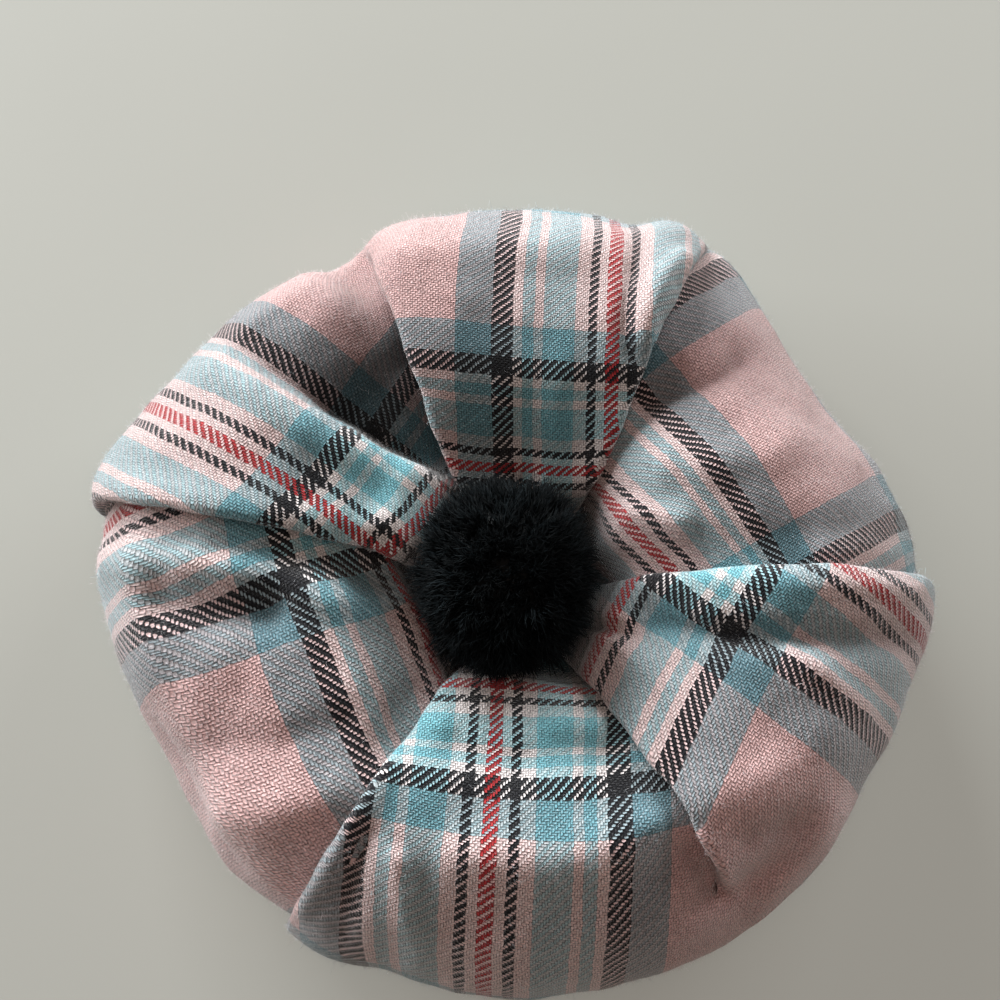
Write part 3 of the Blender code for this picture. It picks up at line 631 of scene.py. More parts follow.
class Graph:
    """A material's nodes, written as sums."""

    def __init__(self, name):
        self.mat = bpy.data.materials.new(name)
        self.mat.use_nodes = True
        self.tree = self.mat.node_tree
        self.shader = self.tree.nodes["Principled BSDF"]

    def node(self, kind, **settings):
        n = self.tree.nodes.new(kind)
        for k, v in settings.items():
            setattr(n, k, v)
        return n

    def plug(self, socket, value):
        if isinstance(value, bpy.types.NodeSocket):
            self.tree.links.new(value, socket)
        elif value is not None:
            socket.default_value = value

    def math(self, op, a, b=None, c=None, clamp=False):
        n = self.node("ShaderNodeMath", operation=op, use_clamp=clamp)
        for socket, v in zip(n.inputs, (a, b, c)):
            self.plug(socket, v)
        return n.outputs[0]

    def mix(self, share, a, b, blend="MIX"):
        n = self.node("ShaderNodeMix", data_type="RGBA", blend_type=blend)
        self.plug(n.inputs["Factor"], share)
        self.plug(n.inputs[6], a)
        self.plug(n.inputs[7], b)
        return n.outputs[2]

    def scale(self, colour, by):
        """A colour made brighter or darker by a number."""
        n = self.node("ShaderNodeVectorMath", operation="SCALE")
        self.plug(n.inputs[0], colour)
        self.plug(n.inputs["Scale"], by)
        return n.outputs[0]

    def vector(self, x=0.0, y=0.0, z=0.0):
        n = self.node("ShaderNodeCombineXYZ")
        for socket, v in zip(n.inputs, (x, y, z)):
            self.plug(socket, v)
        return n.outputs[0]

    def node_out(self, kind, value):
        n = self.node(kind)
        self.plug(n.inputs[0], value)
        return n.outputs[0]

    def noise(self, where, scale, detail=2.0, rough=0.5):
        n = self.node("ShaderNodeTexNoise")
        self.plug(n.inputs["Vector"], where)
        n.inputs["Scale"].default_value = scale
        n.inputs["Detail"].default_value = detail
        n.inputs["Roughness"].default_value = rough
        return n.outputs["Fac"]

    def span(self, value, a0, a1, b0, b1, clamp=True):
        n = self.node("ShaderNodeMapRange", clamp=clamp)
        for socket, v in zip(n.inputs, (value, a0, a1, b0, b1)):
            self.plug(socket, v)
        return n.outputs[0]


def stripes(g, index):
    """The colour of a yarn from its number, counted from the middle of the red line."""
    place_ = g.math("DIVIDE", g.math("PINGPONG", index, float(HALF)), float(HALF))
    ramp = g.node("ShaderNodeValToRGB")
    ramp.color_ramp.interpolation = "CONSTANT"
    g.plug(ramp.inputs[0], place_)
    at = 0
    for n, (colour, count) in enumerate(SETT):
        stop = ramp.color_ramp.elements[n] if n < 2 else ramp.color_ramp.elements.new(at / HALF)
        stop.position = at / HALF
        stop.color = linear(YARNS[colour])
        at += count
    return ramp.outputs[0]


def tartan_material():
    g = Graph("tartan_twill")
    cloth = g.node("ShaderNodeAttribute", attribute_name="cloth").outputs["Vector"]
    parts = g.node("ShaderNodeSeparateXYZ")
    g.plug(parts.inputs[0], cloth)
    s, t, raised = parts.outputs[0], parts.outputs[1], parts.outputs[2]
    flat = g.vector(s, t, 0.0)
    # The yarns don't run dead straight.
    sway = g.math("MULTIPLY", g.math("SUBTRACT", g.noise(flat, 0.16, 2.0), 0.5), 1.3)
    sway2 = g.math("MULTIPLY", g.math("SUBTRACT", g.noise(g.vector(t, s, 40.0), 0.16, 2.0), 0.5), 1.3)
    shake = g.math("MULTIPLY", g.math("SUBTRACT", g.noise(g.vector(s, t, 9.0), 1.1, 1.0), 0.5), 0.55)
    sy = g.math("ADD", g.math("ADD", g.math("DIVIDE", s, YARN), sway), shake)
    ty = g.math("ADD", g.math("ADD", g.math("DIVIDE", t, YARN), sway2), shake)
    i, j = g.math("FLOOR", sy), g.math("FLOOR", ty)
    warp, weft = stripes(g, g.math("ADD", i, 0.5)), stripes(g, g.math("ADD", j, 0.5))
    # Two over, two under, each row one further on.
    a = g.math("FLOORED_MODULO", g.math("ADD", g.math("SUBTRACT", i, ty), 1.0), 4.0)
    b = g.math("FLOORED_MODULO", g.math("SUBTRACT", g.math("SUBTRACT", sy, j), 2.0), 4.0)
    warp_up = g.math("LESS_THAN", a, 2.0)

    def float_height(phase, across):
        wave = g.math("SINE", g.math("MULTIPLY", phase, math.pi / 2))
        off = g.math("SUBTRACT", g.math("MULTIPLY", g.math("FRACT", across), 2.0), 1.0)
        dome = g.math("SUBTRACT", 1.0, g.math("MULTIPLY", off, off))
        return g.math("POWER", g.math("MAXIMUM", g.math("MULTIPLY", wave, dome), 0.0), 0.7)

    warp_h, weft_h = float_height(a, sy), float_height(b, ty)
    height = g.math("ADD", g.math("MULTIPLY", warp_up, warp_h), g.math("MULTIPLY", g.math("SUBTRACT", 1.0, warp_up), weft_h))
    up, under = g.mix(warp_up, weft, warp), g.mix(warp_up, warp, weft)
    # The brushed fibres of two pale yarns run into each other, as two thin dyes would; those of a pale and a dark one
    # stay apart, with the pale one down to the round top of each float, its ends given the dark yarn's colour partly as
    # painted shade.
    both = g.mix(1.0, warp, weft, "MULTIPLY")
    root = g.node("ShaderNodeGamma")
    g.plug(root.inputs[0], both)
    root.inputs[1].default_value = 0.5
    both = root.outputs[0]
    grey = lambda c: g.node_out("ShaderNodeRGBToBW", c)
    black_up, black_under = g.math("LESS_THAN", grey(up), 0.15), g.math("LESS_THAN", grey(under), 0.15)
    fleck = g.noise(g.vector(g.math("MULTIPLY", sy, 1.9), g.math("MULTIPLY", ty, 1.9), 2.0), 1.0, 2.0, 0.6)
    soft = g.mix(0.80, up, both)
    red_under = g.math("GREATER_THAN", grey(under), 0.04)
    dot = g.math("ADD", g.math("ADD", height, g.math("MULTIPLY", g.math("SUBTRACT", fleck, 0.5), 0.5)), g.math("MULTIPLY", red_under, 0.12))
    dot = g.span(dot, 0.42, 0.68, 0.0, 1.0)
    # Painted highlight: the pale yarn made brighter and whiter on the round top of its float.
    bright = g.mix(0.25, g.scale(up, 1.15), linear((236, 234, 236)))
    pale_on_black = g.mix(dot, under, bright)
    colour = g.mix(g.math("MULTIPLY", black_under, g.math("SUBTRACT", 1.0, black_up)), soft, pale_on_black)
    colour = g.mix(black_up, colour, up)
    # Each yarn is its own shade, and uneven along its length.
    yarn = g.math("ADD", g.math("MULTIPLY", warp_up, i), g.math("MULTIPLY", g.math("SUBTRACT", 1.0, warp_up), g.math("ADD", j, 500.0)))
    own = g.node("ShaderNodeTexWhiteNoise", noise_dimensions="1D")
    g.plug(own.inputs["W"], yarn)
    shade = g.span(own.outputs["Value"], 0.0, 1.0, 0.93, 1.06)
    uneven = g.span(g.noise(g.vector(sy, ty, 3.0), 0.55, 3.0, 0.7), 0.3, 0.7, 0.80, 1.18)
    grain = g.span(fleck, 0.28, 0.72, 0.50, 1.42)
    # Painted shade: dark specks where the yarns leave a gap and shade falls into it, some of them brushed over.
    open_ = g.span(g.noise(g.vector(sy, ty, 12.0), 0.7, 1.0), 0.35, 0.65, 0.50, 1.0)
    gap = g.math("MULTIPLY", g.span(height, 0.05, 0.50, 1.0, 0.0), open_)
    colour = g.scale(colour, g.math("MULTIPLY", g.math("MULTIPLY", shade, uneven), g.math("MULTIPLY", grain, g.math("SUBTRACT", 1.0, gap))))
    # Painted highlight: pale, near-white flecks on the tops of the yarn floats, where the fibre tips catch the light.
    tip_highlight = g.span(g.math("MULTIPLY", height, g.noise(g.vector(g.math("MULTIPLY", sy, 1.7), g.math("MULTIPLY", ty, 1.7), 5.0), 1.0, 1.0, 0.6)), 0.42, 0.66, 0.0, 0.65)
    pale = g.mix(0.6, both, linear((236, 236, 238)))
    tip_highlight = g.math("MULTIPLY", tip_highlight, g.math("SUBTRACT", 1.0, g.math("MULTIPLY", black_up, 0.75)))
    colour = g.mix(tip_highlight, colour, pale)
    # Painted highlight and painted shade: the colour is made lighter on the swellings and darker in the hollows, where
    # shade falls;
    # the funnel round the pompom and the deepest pockets, which get hardly any light, are painted darkest.
    deep = g.math("MULTIPLY", g.span(raised, -13.0, 5.0, 0.50, 1.16), g.span(raised, -28.0, -12.0, 0.10, 1.0))
    g.plug(g.shader.inputs["Base Color"], g.scale(colour, deep))
    g.shader.inputs["Roughness"].default_value = 0.85
    g.shader.inputs["Specular IOR Level"].default_value = 0.25
    g.shader.inputs["Sheen Weight"].default_value = 0.6
    g.shader.inputs["Sheen Roughness"].default_value = 0.35
    g.shader.inputs["Sheen Tint"].default_value = (1.0, 1.0, 1.0, 1)
    fibres = g.noise(g.vector(g.math("MULTIPLY", sy, 3.1), g.math("MULTIPLY", ty, 3.1), 1.0), 1.0, 2.0, 0.6)
    relief = g.math("ADD", height, g.math("MULTIPLY", fibres, 0.35))
    bump = g.node("ShaderNodeBump")
    bump.inputs["Strength"].default_value = 0.9
    bump.inputs["Distance"].default_value = 0.0003
    g.plug(bump.inputs["Height"], relief)
    g.plug(g.shader.inputs["Normal"], bump.outputs[0])
    return g.mat


def wool_material():
    g = Graph("black_wool_strands")
    tint = g.node("ShaderNodeAttribute", attribute_name="strand").outputs["Vector"]
    parts = g.node("ShaderNodeSeparateXYZ")
    g.plug(parts.inputs[0], tint)
    colour = g.mix(g.math("MULTIPLY", parts.outputs[0], parts.outputs[0]), linear((3, 5, 6)), linear((24, 31, 34)))
    g.plug(g.shader.inputs["Base Color"], colour)
    g.plug(g.shader.inputs["Roughness"], g.span(parts.outputs[1], 0.0, 1.0, 0.45, 0.75))
    g.shader.inputs["Specular IOR Level"].default_value = 0.07
    g.shader.inputs["Sheen Weight"].default_value = 0.0
    g.shader.inputs["Sheen Roughness"].default_value = 0.4
    return g.mat


def nap_material():
    g = Graph("loose_fibre")
    tint = g.node("ShaderNodeAttribute", attribute_name="strand").outputs["Vector"]
    parts = g.node("ShaderNodeSeparateXYZ")
    g.plug(parts.inputs[0], tint)
    root = g.node("ShaderNodeSeparateXYZ")
    g.plug(root.inputs[0], g.node("ShaderNodeAttribute", attribute_name="cloth").outputs["Vector"])
    yarns = [stripes(g, g.math("DIVIDE", root.outputs[n], YARN)) for n in (0, 1)]
    own = g.mix(g.math("GREATER_THAN", parts.outputs[1], 0.5), yarns[0], yarns[1])
    # Painted sheen: the fibres are paled well towards white, for the whitish haze of light on the nap.
    own = g.mix(0.62, own, linear((238, 240, 244)))
    g.plug(g.shader.inputs["Base Color"], g.scale(own, g.span(parts.outputs[0], 0.0, 1.0, 0.85, 1.1)))
    g.shader.inputs["Roughness"].default_value = 0.8
    g.shader.inputs["Sheen Weight"].default_value = 0.3
    return g.mat


def floor_material():
    g = Graph("pale_table")
    where = g.node("ShaderNodeTexCoord").outputs["Object"]
    cloud = g.noise(where, 3.0, 3.0)
    g.plug(g.shader.inputs["Base Color"], g.mix(g.span(cloud, 0.3, 0.7, 0.0, 1.0), linear((147, 147, 141)), linear((152, 152, 146))))
    # The table is a little bright of itself, as the room's many soft lights make it.
    g.shader.inputs["Emission Color"].default_value = linear((203, 202, 193))
    g.shader.inputs["Emission Strength"].default_value = 0.27
    g.shader.inputs["Roughness"].default_value = 0.62
    g.shader.inputs["Specular IOR Level"].default_value = 0.2
    return g.mat


# ---- Crown -----------------------------------------------------------------------------------------------------------------------------
ROW_PARTS = [
    # from_row, to_row, steps
    (0.0, 4.0, 12),
    (4.0, 17.0, 104),
    (17.0, 22.0, 25),
]
SPLIT = dict(n_top=4, n_arc=8, n_back=6, n_panel=36)


def row_places():
    at = [0.0]
    for a, b, n in ROW_PARTS:
        at += list(np.linspace(a, b, n + 1)[1:])
    return np.array(at)


def make_crown(material):
    rows, p, strips, owner, before, after, angles = crown_grid(row_places(), **SPLIT)
    raised = stroke_heights(rows, p, owner)
    p[..., 2] += raised
    p += vertex_normals(p) * ripple_heights(rows, p)[..., None]
    n_rows, n_cols = p.shape[:2]
    normals = vertex_normals(p)
    outer, inner = p + normals * WALL / 2, p - normals * WALL / 2
    # Cloth coordinates at the two sides of every strip.
    left = np.empty((n_rows, n_cols, 2))
    right = np.empty((n_rows, n_cols, 2))
    picture = in_picture(outer)
    per_zone = n_cols // 6
    zone = per_zone - SPLIT["n_panel"]
    fits = []
    for k in range(6):
        cols = np.where(strips == k)[0]
        nxt = (cols + 1) % n_cols
        pick = lambda c: np.where(((c // per_zone) == k)[None, :], after[:, c], before[:, c])
        s0, t0 = flat_places(rows, k, pick(cols))
        s1, t1 = flat_places(rows, k, pick(nxt))
        # The points of this panel that can be seen.
        seen_rows = np.where((rows.at > 3.4) & (rows.at < 16.5))[0]
        unfolded = pick(cols)
        flat_enough = np.abs(angles[:, cols] - unfolded) < 0.6
        m = flat_enough[seen_rows]
        c = fit_panel(k, picture[seen_rows][:, cols][m], s0[seen_rows][m], t0[seen_rows][m])
        fits.append(c)
        fix = lambda s, t: (s + sum(a * b for a, b in zip(c[0], terms(s, t))), t + sum(a * b for a, b in zip(c[1], terms(s, t))))
        left[:, cols, 0], left[:, cols, 1] = fix(s0, t0)
        right[:, cols, 0], right[:, cols, 1] = fix(s1, t1)
    i, j = np.meshgrid(np.arange(n_rows - 1), np.arange(n_cols), indexing="ij")
    i, j = i.ravel(), j.ravel()
    k = (j + 1) % n_cols
    at = lambda a, b: a * n_cols + b
    quads = np.stack((at(i, j), at(i, k), at(i + 1, k), at(i + 1, j)), 1)
    quad_cloth = np.stack((left[i, j], right[i, j], right[i + 1, j], left[i + 1, j]), 1)
    total = n_rows * n_cols
    foot_o, foot_i = 2 * total, 2 * total + 1
    verts = np.concatenate((outer.reshape(-1, 3), inner.reshape(-1, 3), outer[:1].mean(1), inner[:1].mean(1)))
    jj = np.arange(n_cols)
    kk = (jj + 1) % n_cols
    foot_cloth = np.stack((left[0].mean(0) + 0 * left[0], left[0], right[0]), 1)
    last = n_rows - 1
    faces = [
        quads[:, ::-1],                                                                              # outside
        quads + total,                                                                               # inside
        np.stack((at(last, jj), at(last, kk), at(last, kk) + total, at(last, jj) + total), 1)[:, ::-1],     # hem
        np.stack((jj * 0 + foot_o, at(0, kk), at(0, jj)), 1)[:, ::-1],
        np.stack((jj * 0 + foot_i, at(0, kk) + total, at(0, jj) + total), 1),
    ]
    cloth = [
        quad_cloth[:, ::-1].reshape(-1, 2),
        quad_cloth.reshape(-1, 2),
        np.stack((left[last], right[last], right[last], left[last]), 1)[:, ::-1].reshape(-1, 2),
        foot_cloth[:, [0, 2, 1]][:, ::-1].reshape(-1, 2),
        foot_cloth[:, [0, 2, 1]].reshape(-1, 2),
    ]
    # A map of the cloth for baking: the outside over most of it, the inside below.
    round_ = np.concatenate(([0], np.cumsum(np.linalg.norm(np.roll(p, -1, 1) - p, axis=2)[90:110].mean(0))))
    round_ = 0.004 + 0.992 * round_ / round_[-1]
    out = np.concatenate(([0], np.cumsum(np.linalg.norm(np.diff(p, axis=0), axis=2).mean(1))))
    out /= out[-1]
    u = np.stack((round_[j], round_[j + 1], round_[j + 1], round_[j]), 1)
    v = np.stack((out[i], out[i], out[i + 1], out[i + 1]), 1)
    outside = np.stack((u, 0.24 + 0.75 * v), 2)
    inside = np.stack((u, 0.03 + 0.19 * v), 2)
    hem = np.stack((np.stack((round_[jj], round_[jj + 1], round_[jj + 1], round_[jj]), 1),
                    np.stack((jj * 0 + 0.992, jj * 0 + 0.992, jj * 0 + 0.998, jj * 0 + 0.998), 1)), 2)
    foot = lambda v0, v1: np.stack((np.stack((round_[jj], round_[jj + 1], round_[jj]), 1),
                                    np.stack((jj * 0 + v0, jj * 0 + v1, jj * 0 + v1), 1)), 2)
    uv = [outside[:, ::-1].reshape(-1, 2), inside.reshape(-1, 2), hem[:, ::-1].reshape(-1, 2),
          foot(0.228, 0.236)[:, ::-1].reshape(-1, 2), foot(0.012, 0.022).reshape(-1, 2)]
    ob = mesh_object("crown_cloth", verts + SHIFT, faces, material)
    values = np.concatenate(cloth)
    # The third cloth value sets the painted shade and highlight: the strokes' heights, less a steep fall into the
    # funnel round the pompom; the caps at the funnel's foot are painted dark too.
    painted_shade_height = raised - (27.0 * ease((6.8 - rows.at) / 2.6))[:, None]
    height = np.concatenate((painted_shade_height.ravel(), painted_shade_height.ravel(), [-10, -10]))
    at_corner = np.concatenate([height[f].ravel() for f in faces])
    corner_vectors(ob, "cloth", np.column_stack((values, at_corner)))
    bake_map(ob, np.concatenate(uv))
    return ob, rows, outer, normals, left


# ---- Band ---------------------------------------------------------------------------------------------------------------------------------
def make_headband(material):
    """The band: the same cloth doubled over, a little uneven round the head."""
    n, half, inner, outer, tall = 240, 1.45, 86.0, 89.0, 25.0
    mid = (inner + outer) / 2
    section = []
    for a in np.linspace(-90, 90, 9):
        section.append((mid + half * math.sin(math.radians(a)) * -1, tall - half + half * math.cos(math.radians(a))))
    side = np.linspace(tall - half, half, 12)[1:-1]
    section = [(mid - half * math.sin(math.radians(a)), tall - half + half * math.cos(math.radians(a))) for a in np.linspace(-90, 90, 9)]
    section += [(mid - half, z) for z in side]
    section += [(mid - half * math.cos(math.radians(a)), half - half * math.sin(math.radians(a))) for a in np.linspace(0, 180, 11)]
    section += [(mid + half, z) for z in side[::-1]]
    section = np.array(section)
    m = len(section)
    a = np.arange(n) * 2 * math.pi / n
    sway = 0.12 * np.sin(5 * a + 1) + 0.08 * np.sin(11 * a)
    r = section[None, :, 0] + sway[:, None] * (1 - np.abs(section[None, :, 1] / tall - 0.5))
    verts = np.stack((r * np.sin(a)[:, None], r * np.cos(a)[:, None], section[None, :, 1] + 0 * r), 2).reshape(-1, 3)
    i, j = np.meshgrid(np.arange(n), np.arange(m), indexing="ij")
    i, j = i.ravel(), j.ravel()
    at = lambda x, y: (x % n) * m + (y % m)
    quads = np.stack((at(i, j), at(i, j + 1), at(i + 1, j + 1), at(i + 1, j)), 1)
    run = np.concatenate(([0], np.cumsum(np.linalg.norm(np.roll(section, -1, 0) - section, axis=1))))
    along = 2 * math.pi * mid / n
    s = np.stack((i * along, i * along, (i + 1) * along, (i + 1) * along), 1)
    t = np.stack((run[j], run[j + 1], run[j + 1], run[j]), 1) + 60.0
    ob = mesh_object("headband_cloth", verts + SHIFT, [quads], material)
    corner_vectors(ob, "cloth", np.stack((s, t, 0 * s), 2).reshape(-1, 3))
    u = np.stack((i, i, i + 1, i + 1), 1) / n
    v = np.stack((run[j], run[j + 1], run[j + 1], run[j]), 1) / run[-1]
    bake_map(ob, np.stack((0.005 + 0.99 * u, 0.01 + 0.98 * v), 2).reshape(-1, 2))
    return ob


# ---- Strands ------------------------------------------------------------------------------------------------------------------------------
def strands_object(name, paths, width, tint, material, sides=3):
    """Strands as thin tapered tubes of three sides, or as two-sided ribbons. paths is strands x points x 3."""
    n, m = paths.shape[:2]
    along = np.gradient(paths, axis=1)
    along /= np.maximum(np.linalg.norm(along, axis=2, keepdims=True), 1e-9)
    ref = RNG.normal(size=(n, 1, 3))
    a = np.cross(along, ref)
    a /= np.maximum(np.linalg.norm(a, axis=2, keepdims=True), 1e-9)
    b = np.cross(along, a)
    taper = 1 - 0.8 * np.linspace(0, 1, m) ** 3
    w = np.asarray(width).reshape(-1, 1, 1) * taper[None, :, None] / 2
    if sides == 3:
        ring = [a * w * math.cos(q) + b * w * math.sin(q) for q in (0, 2.0944, 4.18879)]
    else:
        ring = [a * w, -a * w]
    verts = np.stack([paths + r for r in ring], 2)          # strands x points x sides x 3
    k = len(ring)
    base = (np.arange(n)[:, None, None] * m + np.arange(m - 1)[None, :, None]) * k
    q = np.arange(k if sides == 3 else 1)[None, None, :]
    q2 = (q + 1) % k
    quads = np.stack((base + q, base + q2, base + k + q2, base + k + q), -1).reshape(-1, 4)
    faces = [quads]
    if sides == 3:
        tip = ((np.arange(n) * m + m - 1) * k)[:, None] + np.array([0, 1, 2])[None, :]
        faces.append(tip)
    ob = mesh_object(name, verts.reshape(-1, 3) + SHIFT, faces, material, smooth=True)
    at = ob.data.attributes.new("strand", "FLOAT_VECTOR", "POINT")
    value = np.zeros((n, m, k, 3), np.float32)
    value[..., 0] = np.asarray(tint).reshape(-1, 1, 1)
    value[..., 1] = RNG.random(n).reshape(-1, 1, 1)
    value[..., 2] = np.linspace(0, 1, m)[None, :, None]
    at.data.foreach_set("vector", value.ravel())
    return ob


POMPOM_CENTRE = np.array([-3.1, -4.9, 60.0])
POMPOM_HALF = (24.6, 28.0, 18.0)
POMPOM_FOOT = 28.4


def pompom_surface(d):
    """How far out the wool reaches in the directions d."""
    d = d / np.linalg.norm(d, axis=-1, keepdims=True)
    below = d[..., 2] < 0
    hz = np.where(below, POMPOM_FOOT, POMPOM_HALF[2])
    k = 1 / np.sqrt((d[..., 0] / POMPOM_HALF[0]) ** 2 + (d[..., 1] / POMPOM_HALF[1]) ** 2 + (d[..., 2] / hz) ** 2)
    return d * k[..., None]


def make_pompom(material, core_material):
    """The wool: tufts of crimped strands over a dark core, cut to the ball's form."""
    n_tufts, per = 420, 32
    k = np.arange(n_tufts) + 0.5
    z = 1 - 1.72 * k / n_tufts
    turn = k * 2.399963
    flat = np.sqrt(np.maximum(1 - z * z, 0))
    tufts = np.stack((flat * np.cos(turn), flat * np.sin(turn), z), 1) + RNG.normal(size=(n_tufts, 3)) * 0.05
    n = n_tufts * per
    which = np.repeat(np.arange(n_tufts), per)
    heads = tufts[which] + RNG.normal(size=(n, 3)) * 0.075
    surface = pompom_surface(heads)
    tall = (0.95 + 0.10 * RNG.random(n_tufts))[which] * (0.92 + 0.10 * RNG.random(n))
    m = 6
    u = np.linspace(0.46, 1.0, m)[None, :, None]
    straight = surface[:, None, :] * tall[:, None, None] * u
    centre = pompom_surface(tufts)[which][:, None, :] * tall[:, None, None] * u
    gather = 0.55 * np.sin(np.pi * np.linspace(0, 1, m))[None, :, None] ** 1.5
    paths = straight * (1 - gather) + centre * gather
    a = np.cross(surface, RNG.normal(size=(n, 3)))
    a /= np.linalg.norm(a, axis=1, keepdims=True)
    b = np.cross(surface / np.linalg.norm(surface, axis=1, keepdims=True), a)
    phase = RNG.random(n) * 6.28
    crimp = np.linspace(0, 1, m)[None, :] * (7 + 5 * RNG.random(n))[:, None] + phase[:, None]
    size = (0.35 + 0.55 * RNG.random(n))[:, None] * (0.4 + 0.9 * np.linspace(0, 1, m)[None, :])
    paths = paths + (a[:, None, :] * np.cos(crimp)[..., None] + b[:, None, :] * np.sin(crimp)[..., None]) * size[..., None]
    lean = RNG.normal(size=(n_tufts, 3))[which] * 1.3 + RNG.normal(size=(n, 3)) * 0.5
    paths = paths + lean[:, None, :] * (np.linspace(0, 1, m)[None, :, None] ** 2)
    paths = paths + POMPOM_CENTRE
    tint = np.clip(0.35 + 0.25 * RNG.normal(size=n_tufts)[which] + 0.2 * RNG.normal(size=n), 0, 1)
    out = []
    parts = np.array_split(RNG.permutation(n), 4)
    for q, part in enumerate(parts):
        out.append(strands_object(f"pompom_wool_{q + 1}", paths[part], 0.46 + 0.26 * RNG.random(len(part)), tint[part], material))
    # A dark core that the strands stand on.
    core = []
    rows_, cols_ = 24, 40
    for r in range(1, rows_):
        for c in range(cols_):
            th, ph = math.pi * r / rows_, 2 * math.pi * c / cols_
            core.append((math.sin(th) * math.cos(ph), math.sin(th) * math.sin(ph), math.cos(th)))
    core = np.array(core + [(0, 0, 1), (0, 0, -1)])
    core = pompom_surface(core) * 0.80 + POMPOM_CENTRE
    i, j = np.meshgrid(np.arange(rows_ - 2), np.arange(cols_), indexing="ij")
    i, j = i.ravel(), j.ravel()
    at = lambda x, y: x * cols_ + (y % cols_)
    quads = np.stack((at(i, j), at(i + 1, j), at(i + 1, j + 1), at(i, j + 1)), 1)
    c = np.arange(cols_)
    top = np.stack((c * 0 + (rows_ - 1) * cols_, at(0, c), at(0, c + 1)), 1)
    low = np.stack((c * 0 + (rows_ - 1) * cols_ + 1, at(rows_ - 2, c + 1), at(rows_ - 2, c)), 1)
    ob = mesh_object("pompom_core", core + SHIFT, [quads, top, low], core_material)
    out.append(ob)
    return out


NAP = [
    # name, fibres, from_row, to_row, stand, seed
    ("crown_nap", 22000, 4.2, 20.0, 0.35, 11),
    ("rim_nap", 40000, 11.0, 17.6, 0.5, 12),
]


def make_nap(material, rows, outer, normals, cloth, name, count, from_row, to_row, stand, seed):
    """Loose fibres of the brushed cloth, each with the cloth's own colour paled towards white as a painted sheen, lying
    along it or standing off it.
    """
    rng = np.random.default_rng(seed)
    p = outer
    keep = np.where((rows.at > from_row) & (rows.at < to_row))[0]
    keep = keep[keep < len(p) - 1]
    a, b = p[keep], np.roll(p, -1, 1)[keep]
    c = p[keep + 1]
    area = np.linalg.norm(np.cross(b - a, c - a), axis=2).ravel()
    pick = rng.choice(len(area), count, p=area / area.sum())
    ii, jj = keep[pick // p.shape[1]], pick % p.shape[1]
    k = (jj + 1) % p.shape[1]
    u, v = rng.random(count)[:, None], rng.random(count)[:, None]
    base = (p[ii, jj] * (1 - u) + p[ii, k] * u) * (1 - v) + (p[ii + 1, jj] * (1 - u) + p[ii + 1, k] * u) * v
    n = normals[ii, jj]
    side = np.cross(n, rng.normal(size=(count, 3)))
    side /= np.linalg.norm(side, axis=1, keepdims=True)
    long_ = rng.gamma(3.0, 0.24, count)[:, None] + 0.4
    rise = np.abs(rng.normal(size=(count, 1))) * stand + 0.12
    bend = np.cross(n, side) * rng.normal(size=(count, 1)) * 0.5
    m = 3
    w = np.linspace(0, 1, m)[None, :, None]
    curl = np.sin(w * np.pi * 0.9)
    paths = base[:, None] - n[:, None] * 0.1 + long_[:, None] * (side[:, None] * w * 0.85 + n[:, None] * rise[:, None] * curl + bend[:, None] * w * w)
    tint = rng.random(count)
    ob = strands_object(name, paths, 0.035 + 0.03 * rng.random(count), tint, material, sides=2)
    at = ob.data.attributes.new("cloth", "FLOAT_VECTOR", "POINT")
    at.data.foreach_set("vector", np.repeat(np.column_stack((cloth[ii, jj], 0 * tint)), m * 2, axis=0).astype(np.float32).ravel())
    return ob


# ---- Scene -----------------------------------------------------------------------------------------------------------------------------------
tartan, wool, nap, table = tartan_material(), wool_material(), nap_material(), floor_material()

crown, rows, outer, normals, cloth_at = make_crown(tartan)
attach(crown, "root")
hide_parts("crown")

band = make_headband(tartan)
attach(band, "root")
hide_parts("headband")

pompom = make_pompom(wool, wool)
for piece in pompom:
    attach(piece, "root")
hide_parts("pompom")

for name, count, from_row, to_row, stand, seed in NAP:
    fibres = make_nap(nap, rows, outer, normals, cloth_at, name, count, from_row, to_row, stand, seed)
    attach(fibres, "root")

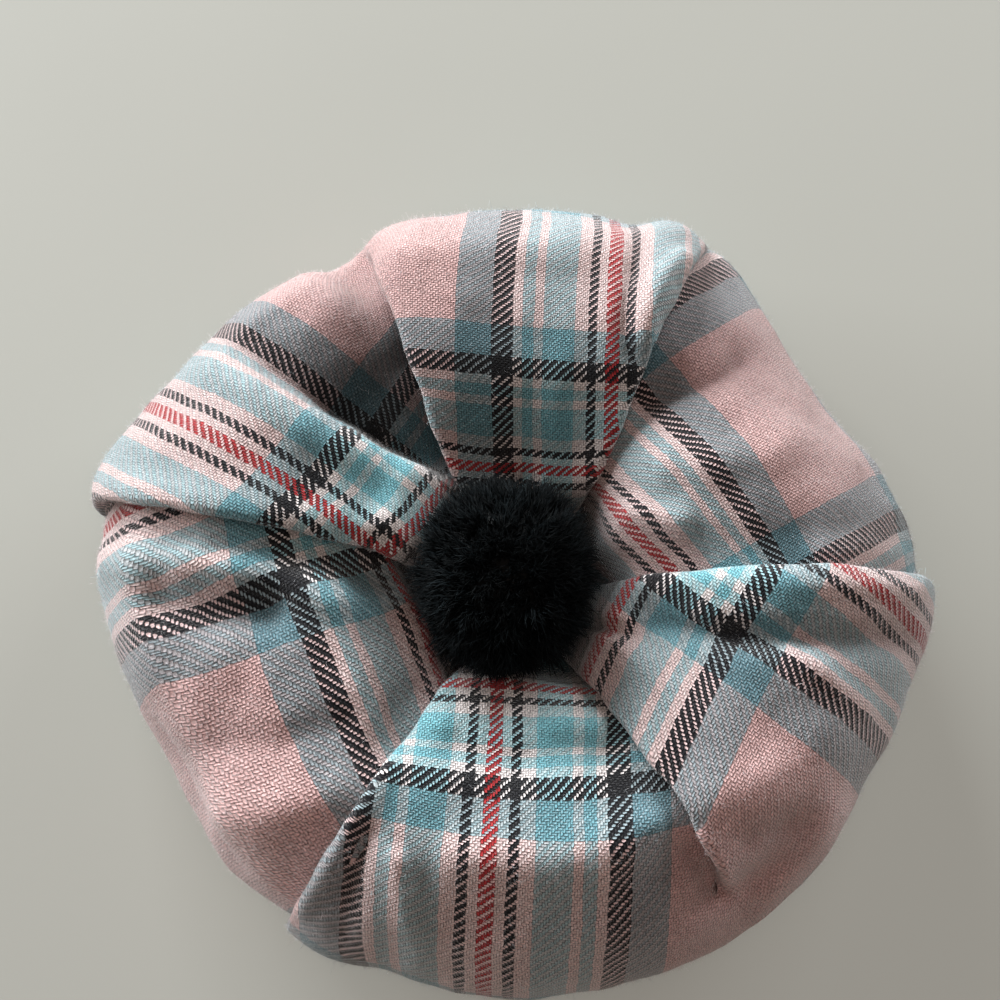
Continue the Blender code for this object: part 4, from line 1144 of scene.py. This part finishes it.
cloth_area = sum(f.area for f in crown.data.polygons) / 2
print("crown cloth area, m2:", round(cloth_area, 4))

bpy.ops.mesh.primitive_plane_add(size=4, location=(0, 0, 0))
floor = bpy.context.object
floor.name = "floor"
floor.data.materials.append(table)

# Window light from the back and left, and the room's.
scene = bpy.context.scene
world = bpy.data.worlds.new("room")
scene.world = world
world.use_nodes = True
world.node_tree.nodes["Background"].inputs["Color"].default_value = (1.0, 0.86, 0.78, 1)
world.node_tree.nodes["Background"].inputs["Strength"].default_value = 0.04


LIGHTS = [
    # name, azimuth, height (degrees), away, size (metres), power (watts), colour
    ("window", -29.0, 19.0, 2.6, (1.6, 1.0), 104.0, (0.945, 0.985, 1.0)),
    ("window_left", -62.0, 17.5, 2.6, (1.6, 1.0), 58.0, (0.93, 0.98, 1.0)),
    ("window_right", 38.0, 18.0, 2.6, (1.6, 1.0), 46.0, (0.95, 0.985, 1.0)),
    ("ceiling", 180.0, 80.0, 2.6, (2.0, 2.0), 18.0, (1.0, 0.81, 0.71)),
]


def area_light(name, at, aim, size, power, colour):
    data = bpy.data.lights.new(name, "AREA")
    data.shape, data.size, data.size_y = "RECTANGLE", size[0], size[1]
    data.energy, data.color = power, colour
    ob = bpy.data.objects.new(name, data)
    ob.location = at
    ob.rotation_euler = (Vector(aim) - Vector(at)).to_track_quat("-Z", "Y").to_euler()
    scene.collection.objects.link(ob)
    return ob


for name, azimuth, height, away, size, power, colour in LIGHTS:
    flat, turn = away * math.cos(math.radians(height)), math.radians(azimuth)
    at = (flat * math.sin(turn), flat * math.cos(turn), away * math.sin(math.radians(height)))
    area_light(name, at, (0, 0, 0.03), size, power, colour)

cam = bpy.data.cameras.new("camera")
cam.sensor_width = 36.0
cam.lens = 36.0 * FOCAL_PX / 1000
cam.clip_start = 0.01
eye = bpy.data.objects.new("camera", cam)
eye.location = (EYE + SHIFT) * MM
eye.rotation_euler = (TILT, 0, 0)
scene.collection.objects.link(eye)
scene.camera = eye
scene.view_settings.view_transform = "Standard"
scene.view_settings.look = "None"
scene.view_settings.exposure = 0.0
